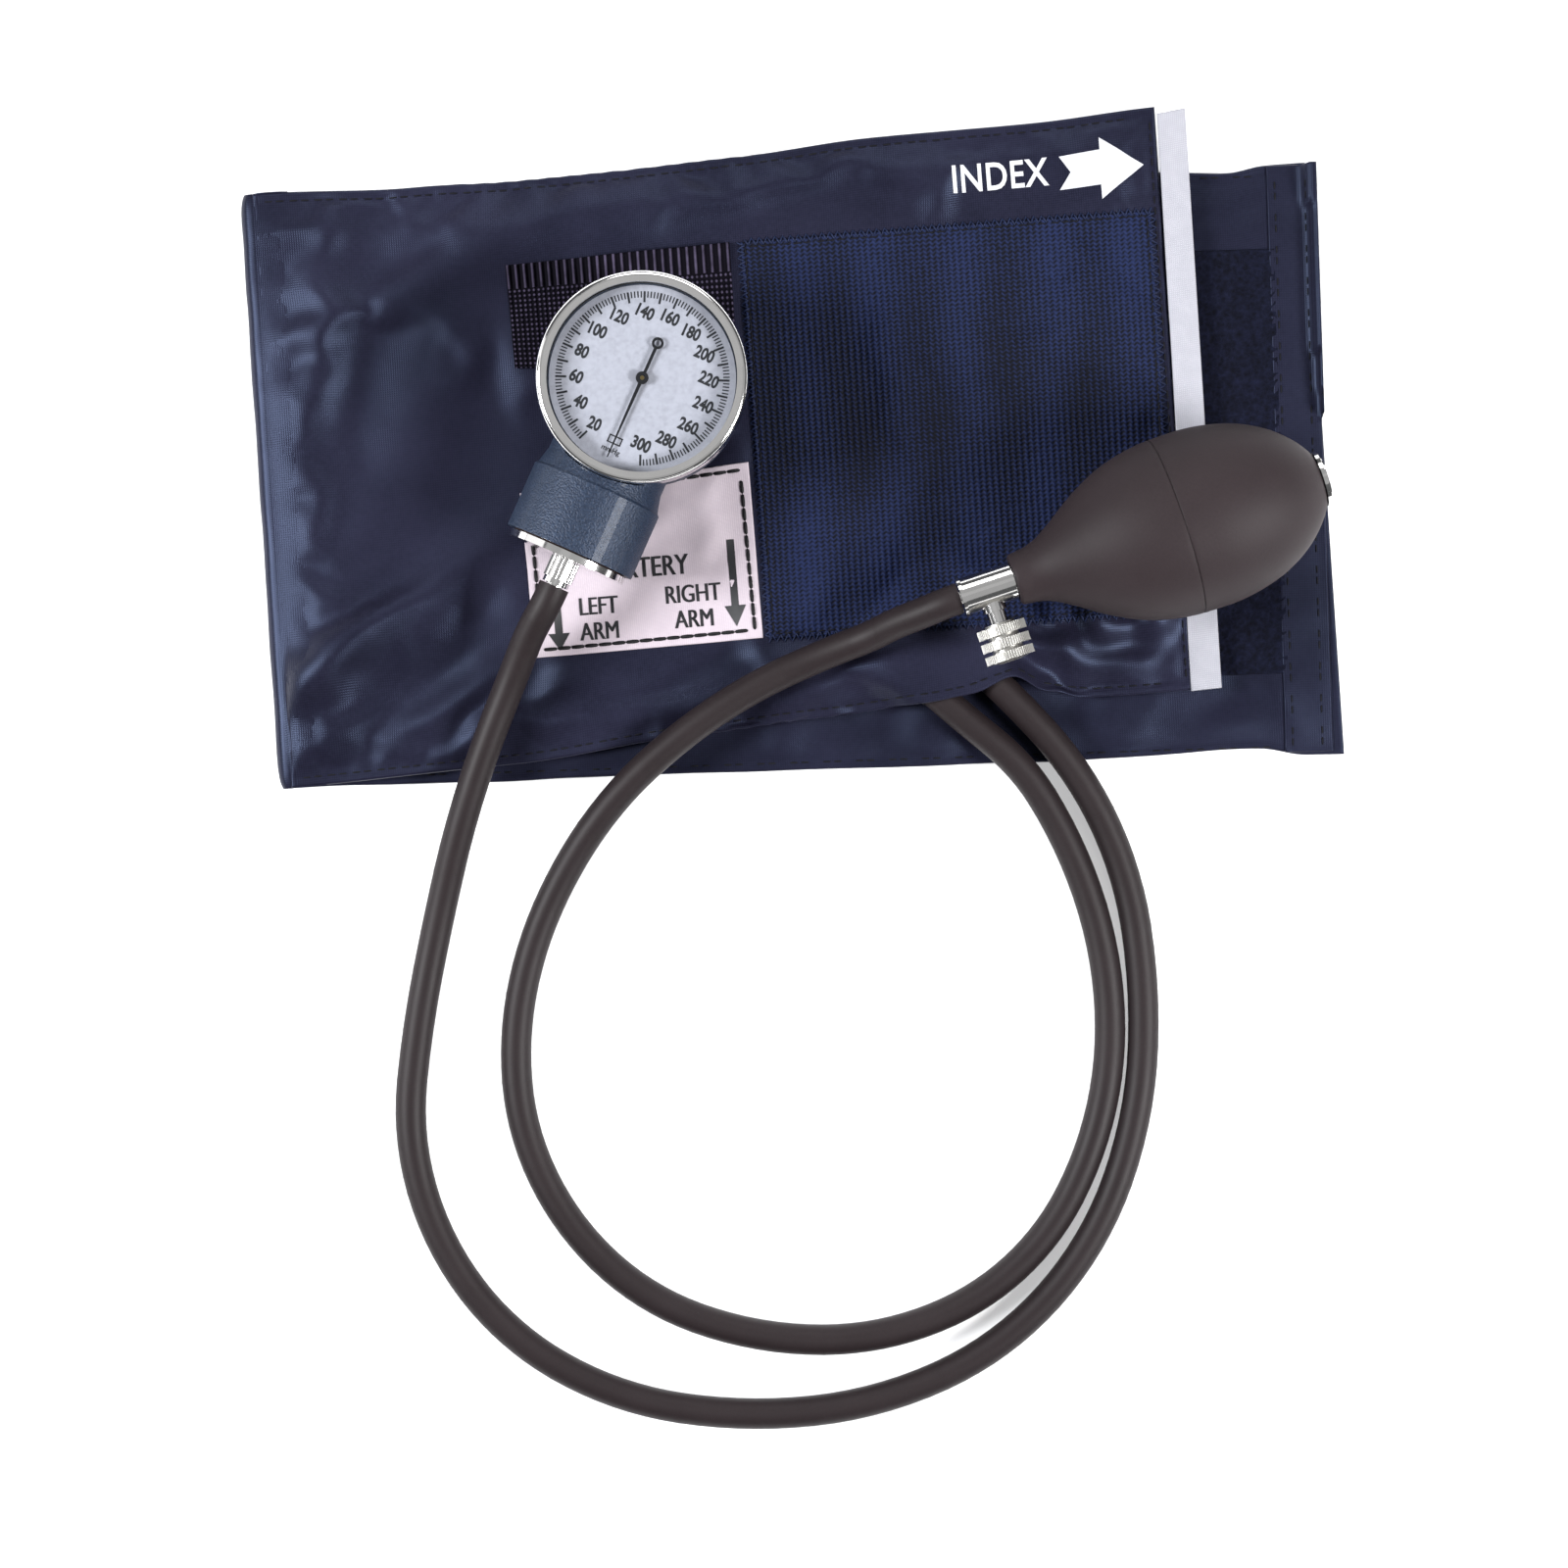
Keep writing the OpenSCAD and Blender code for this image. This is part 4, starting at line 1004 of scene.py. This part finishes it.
# the mould line round the bulb is a shallow groove
MOULD_X, MOULD_HALF, MOULD_DEPTH = 46.5, 0.22, 0.28
GROOVE = ((-1.5, 0.0), (-1.0, 0.1), (-0.45, 0.9), (0.0, 1.0), (0.45, 0.9), (1.0, 0.1), (1.5, 0.0))
smooth_bulb = spline(BULB_KEYS, 5)
bulb_profile = [p for p in smooth_bulb if abs(p[0] - MOULD_X) > 2 * MOULD_HALF]
for off, depth in GROOVE:
    x = MOULD_X + off * MOULD_HALF
    r = float(np.interp(x, *zip(*smooth_bulb)))
    bulb_profile.append((x, r - depth * MOULD_DEPTH))
bulb_profile.sort()
bulb = lathe("bulb_body", bulb_profile, 128, valve_point)
stand_in(bulb, BULB, "bulb_rubber", "cuff", "bulb")


# ---------------------------------- dial print

DIAL_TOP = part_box("dial_plate")[1].z / MM
PRINT_LIFT = 0.03
FIRST, LAST = 20, 300       # marked range of the scale
FULL_SWEEP = 337.5          # degrees from nothing to LAST
TICK_OUT, TICK_IN, SMALL_TICK_IN = 20.4, 17.8, 18.9
TICK_W, SMALL_TICK_W = 0.50, 0.31
NUMBER_R, NUMBER_SIZE = 15.5, 4.0
UNIT_R, UNIT_SIZE = 18.3, 1.7
BOX_W, BOX_H, BOX_R, BOX_LINE = 1.7, 1.0, 15.8, 0.32    # the frame that marks zero


def on_dial(x, y):
    return dial_point(x, y, DIAL_TOP + PRINT_LIFT)


def dial_angle(mmhg):
    """Radians clockwise from six o'clock."""
    return math.radians(mmhg * FULL_SWEEP / LAST)


def dial_tick(a, r0, r1, w):
    """Corners of a mark that points to the middle, between two radii."""
    corners = ((r0, -w / 2), (r1, -w / 2), (r1, w / 2), (r0, w / 2))
    return [on_dial(-math.sin(a) * r + math.cos(a) * off, -math.cos(a) * r - math.sin(a) * off)
            for r, off in corners]


def box_bar(x0, y0, x1, y1):
    return [on_dial(x, y - BOX_R) for x, y in ((x0, y0), (x1, y0), (x1, y1), (x0, y1))]


marks = []
for value in range(FIRST, LAST + 1, 2):
    if value % 10:
        marks.append(dial_tick(dial_angle(value), SMALL_TICK_IN, TICK_OUT, SMALL_TICK_W))
    else:
        marks.append(dial_tick(dial_angle(value), TICK_IN, TICK_OUT, TICK_W))
marks += [box_bar(-BOX_W, -BOX_H, BOX_W, -BOX_H + BOX_LINE),
          box_bar(-BOX_W, BOX_H - BOX_LINE, BOX_W, BOX_H),
          box_bar(-BOX_W, -BOX_H, -BOX_W + BOX_LINE, BOX_H),
          box_bar(BOX_W - BOX_LINE, -BOX_H, BOX_W, BOX_H)]
finish_print("dial_scale", sum(marks, []), [list(range(4 * k, 4 * k + 4)) for k in range(len(marks))],
             INK, "cuff")


def cut_fine(bm, step):
    """Cuts a flat shape into small pieces so that it can follow the cloth."""
    for axis in (0, 1):
        at = [v.co[axis] for v in bm.verts]
        normal = Vector((axis == 0, axis == 1, 0))
        for k in range(1, math.ceil((max(at) - min(at)) / step)):
            bmesh.ops.bisect_plane(bm, geom=bm.verts[:] + bm.edges[:] + bm.faces[:],
                                   plane_co=normal * (min(at) + k * step), plane_no=normal)
    bmesh.ops.triangulate(bm, faces=bm.faces[:])
    bm.verts.index_update()
    verts = [v.co.copy() for v in bm.verts]
    faces = [[v.index for v in f.verts] for f in bm.faces]
    bm.free()
    return verts, faces


def lettering(name, text, size, place, look, body, bold=0.0, widen=1.0, spacing=1.0, shifts=(0.0,),
              step=None):
    """Text as a thin flat mesh. place(x, y) takes letter space in millimetres to a point in metres.
    Each shift draws the letters once more, moved sideways by that much, to thicken their strokes.
    With a step, the letters are cut up so that they follow a cloth."""
    cu = bpy.data.curves.new(name, "FONT")
    cu.body = text
    cu.size = size
    cu.align_x = "CENTER"
    cu.align_y = "CENTER"
    cu.offset = bold
    cu.space_character = spacing
    cu.resolution_u = 4
    tmp = bpy.data.objects.new(name + "_tmp", cu)
    bpy.context.scene.collection.objects.link(tmp)
    dg = bpy.context.evaluated_depsgraph_get()
    me = bpy.data.meshes.new_from_object(tmp.evaluated_get(dg))
    bpy.data.objects.remove(tmp)
    flat, shapes = [v.co.copy() for v in me.vertices], [list(p.vertices) for p in me.polygons]
    if step:
        bm = bmesh.new()
        bm.from_mesh(me)
        flat, shapes = cut_fine(bm, step)
    bpy.data.meshes.remove(me)
    verts, faces = [], []
    for shift in shifts:
        base = len(verts)
        verts += [place(p.x * widen + shift, p.y) for p in flat]
        faces += [[base + i for i in f] for f in shapes]
    finish_print(name, verts, faces, look, body)


for value in range(FIRST, LAST + 1, 20):
    a = dial_angle(value)
    cx, cy = -math.sin(a) * NUMBER_R, -math.cos(a) * NUMBER_R
    lettering("dial_number_%d" % value, str(value), NUMBER_SIZE,
              lambda x, y, cx=cx, cy=cy: on_dial(cx + x, cy + y), INK, "cuff", 0.15, 0.78)
lettering("dial_unit", "mmHg", UNIT_SIZE, lambda x, y: on_dial(x, y - UNIT_R), INK, "cuff", 0.04)


# ---------------------------------- cloth prints

def layer_print(cx, cy, turn, surface, lift):
    """Places a flat print round (cx, cy), turned by degrees and laid on a surface."""
    c, s = math.cos(math.radians(turn)), math.sin(math.radians(turn))

    def place(x, y):
        px, py = cx + c * x - s * y, cy + s * x + c * y
        return Vector((px, py, surface(px, py) + lift)) * MM
    return place


lettering("index_word", "INDEX", 9.2, layer_print(49.5, 72.6, 5.0, top_z, 0.22), WHITE_INK, "cuff",
          0.14, 0.82, 1.06, step=0.8)


def cloth_shape(name, outline, place, look, body, step=2.0):
    bm = bmesh.new()
    bm.faces.new([bm.verts.new((x, y, 0)) for x, y in outline])
    verts, faces = cut_fine(bm, step)
    finish_print(name, [place(v.x, v.y) for v in verts], faces, look, body)


ARROW = [(-9.9, 3.9), (0, 5.2), (0, 8.2), (10.6, 1.2), (0.2, -6.6), (0, -3.2), (-9.9, -3.9),
         (-7.2, 0.1)]
cloth_shape("index_arrow", ARROW, layer_print(73.9, 74.0, 3.0, top_z, 0.2), WHITE_INK, "cuff")


def label_z(x, y):
    return LABEL_TOP.z(x, y, 6.6)


def on_label(x, y):
    return layer_print(x, y, 4.5, label_z, 0.08)


for name, text, size, x, y in (("label_artery", "ARTERY", 7.0, -35.0, -21.6),
                               ("label_left", "LEFT\nARM", 6.1, -47.0, -34.0),
                               ("label_right", "RIGHT\nARM", 6.1, -24.2, -31.0)):
    lettering(name, text, size, on_label(x, y), GREY_INK, "cuff", 0.0, 0.76, 1.0, (-0.14, 0.0, 0.14))
DOWN_ARROW = [(-0.9, 10.5), (0.9, 10.5), (0.9, -5.5), (2.6, -5.5), (0, -10.6), (-2.6, -5.5),
              (-0.9, -5.5)]
SHORT_ARROW = [(x, y * 0.82) for x, y in DOWN_ARROW]
cloth_shape("label_arrow_right", DOWN_ARROW, on_label(-14.6, -25.2), GREY_INK, "cuff", 3)
cloth_shape("label_arrow_left", SHORT_ARROW, on_label(-57.0, -33.0), GREY_INK, "cuff", 3)


# ---------------------------------- seams

def line(points, step=8.0):
    out = []
    for a, b in zip(points, points[1:]):
        a, b = Vector(a), Vector(b)
        n = max(1, round((b - a).length / step))
        out += [tuple(a.lerp(b, k / n)) for k in range(n)]
    return out + [points[-1]]


def cover_line(pairs):
    return [tuple(cover_xy(s, t))[:2] for s, t in pairs]


def seam(name, points, surface, length, body):
    """Fine machine stitches."""
    stitches(name, points, surface, 2.7, length, 0.42, 0.05, THREAD, body)


ALONG = range(3, 218, 6)
seam("seam_low", cover_line([(s, -CUFF_W / 2 + SEAM_IN) for s in ALONG]), top_z, 2.0, "cuff")
seam("seam_high", cover_line([(s, CUFF_W / 2 - SEAM_IN) for s in ALONG]), top_z, 2.0, "cuff")
seam("seam_end", cover_line([(TOP_LEN - 1.6, t) for t in range(-69, 70, 6)]), top_z, 2.0, "cuff")


def inset(corners, d):
    """Outline drawn in by d, closed."""
    c = [Vector(p) for p in corners]
    mid = sum(c, Vector((0, 0))) / 4
    out = []
    for p in c:
        v = mid - p
        out.append(tuple(p + Vector((math.copysign(d, v.x), math.copysign(d, v.y)))))
    return out + [out[0]]


def hook_z(x, y):
    return HOOK_TOP.z(x, y, 7.0)


stitches("hook_seam", line(inset(HOOK_CORNERS, 1.2)), hook_z, 2.4, 1.9, 0.4, 0.06, THREAD, "cuff")


def zigzag_line(a, b, pitch, half):
    """Points that swing from side to side of the line from a to b."""
    a, b = Vector(a), Vector(b)
    d = (b - a).normalized()
    side = Vector((-d.y, d.x))
    count = int((b - a).length / pitch)
    return [tuple(a + d * (k * pitch) + side * (half if k % 2 else -half)) for k in range(count + 1)]


low_left, low_right, high_right, high_left = HOOK_CORNERS
for k, (a, b) in enumerate(((low_right, high_right), (low_left, low_right),
                            (high_right, high_left), (high_left, low_left))):
    stitches("hook_border_%d" % k, zigzag_line(a, b, 0.95, 0.9),
             lambda x, y: HOOK_TOP.z(x, y, top_z(x, y)), 1.7, 1.9, 0.42, 0.16, BORDER_THREAD, "cuff")
stitches("label_seam", inset(LABEL_CORNERS, 2.0), label_z, 3.3, 3.35, 0.95, 0.08, BLACK_THREAD, "cuff")


def hem_z(x, y):
    return HEM.z(x, y, 2.4)


for k, s in enumerate((245.4, 252.6)):
    seam("hem_row_%d" % k, line([tail_point(s, -70), tail_point(s, 70)]), hem_z, 1.9, "tail")
for name, t in (("tail_seam_low", -CUFF_W / 2 + SEAM_IN), ("tail_seam_high", CUFF_W / 2 - SEAM_IN - 1)):
    seam(name, line([tail_point(3, t), tail_point(243, t)]), tail_z, 1.9, "tail")


# ---------------------------------- studio

def light(name, kind, at, aim, energy, size, colour=(1, 1, 1)):
    data = bpy.data.lights.new(name, kind)
    data.energy = energy
    data.color = colour
    if kind == "AREA":
        data.shape = "RECTANGLE"
        data.size, data.size_y = size
    ob = bpy.data.objects.new(name, data)
    ob.location = at
    ob.rotation_euler = (Vector(aim) - Vector(at)).to_track_quat("-Z", "Y").to_euler()
    bpy.context.scene.collection.objects.link(ob)
    return ob


floor_mat = Nodes("pale_floor")
floor_tone = floor_mat.ramp(floor_mat.noise(floor_mat.coords("Object"), 3.0),
                            [(0.3, (0.86, 0.86, 0.87)), (0.7, (0.88, 0.88, 0.885))])
floor_mat.set(Base_Color=floor_tone, Roughness=0.9)
FLOOR_HALF, FLOOR_Z = 3, -0.0002
floor = new_object("floor", [(x * FLOOR_HALF, y * FLOOR_HALF, FLOOR_Z)
                             for x, y in ((-1, -1), (1, -1), (1, 1), (-1, 1))], [(0, 1, 2, 3)])
paint(floor, floor_mat.mat)

world = bpy.data.worlds.new("studio")
world.use_nodes = True
sky = world.node_tree.nodes["Background"].inputs
sky["Color"].default_value = (0.95, 0.97, 1.0, 1)
sky["Strength"].default_value = 0.11
bpy.context.scene.world = world

AIM = (0, -0.05, 0)
light("key", "AREA", (0.80, -0.28, 0.72), AIM, 16, (0.34, 0.34))
light("fill", "AREA", (-0.86, -0.02, 0.72), AIM, 17, (0.36, 0.36), (0.97, 0.985, 1.0))
light("back", "AREA", (0.1, 1.0, 0.8), AIM, 6, (0.9, 0.5))

# softboxes that only the bright metal pieces reflect
BRIGHT = bpy.data.collections.new("bright_metal")
for part in frame["record"]["subparts"]:
    if SLOT_LOOKS[part["material_slot"]] in (CHROME, STEEL):
        BRIGHT.objects.link(frame["nodes"][part["node"]])
for name, at, energy, size in (("card_top", (-0.05, 0.05, 1.3), 0.1, (0.80, 0.40)),
                               ("card_dome", (-0.05, 0.05, 1.35), 5.5, (2.6, 2.0)),
                               ("card_left", (-1.0, 0.4, 0.45), 0.7, (0.2, 0.9)),
                               ("card_front", (0.2, -1.1, 0.5), 0.5, (0.8, 0.15))):
    light(name, "AREA", at, (0, 0, 0), energy, size).light_linking.receiver_collection = BRIGHT

# even wash over the floor alone, so that the hoses throw only a faint shadow
FLOOR_ONLY = bpy.data.collections.new("floor_only")
FLOOR_ONLY.objects.link(floor)
wash = light("wash", "SUN", (0, 0, 2), (0, 0, 0), 1.6, None)
wash.light_linking.receiver_collection = FLOOR_ONLY
wash.light_linking.blocker_collection = FLOOR_ONLY

# the camera looks straight down; FIELD is the width it sees on the floor
CAMERA_HEIGHT, FIELD, SENSOR = 0.95, 0.381, 36
cam = bpy.data.cameras.new("camera")
cam_ob = bpy.data.objects.new("camera", cam)
cam_ob.location = (-0.0024, -0.0738, CAMERA_HEIGHT)
cam.sensor_width = SENSOR
cam.lens = SENSOR * CAMERA_HEIGHT / FIELD
cam.clip_end = 20
bpy.context.scene.collection.objects.link(cam_ob)
bpy.context.scene.camera = cam_ob
bpy.context.scene.view_settings.view_transform = "Standard"
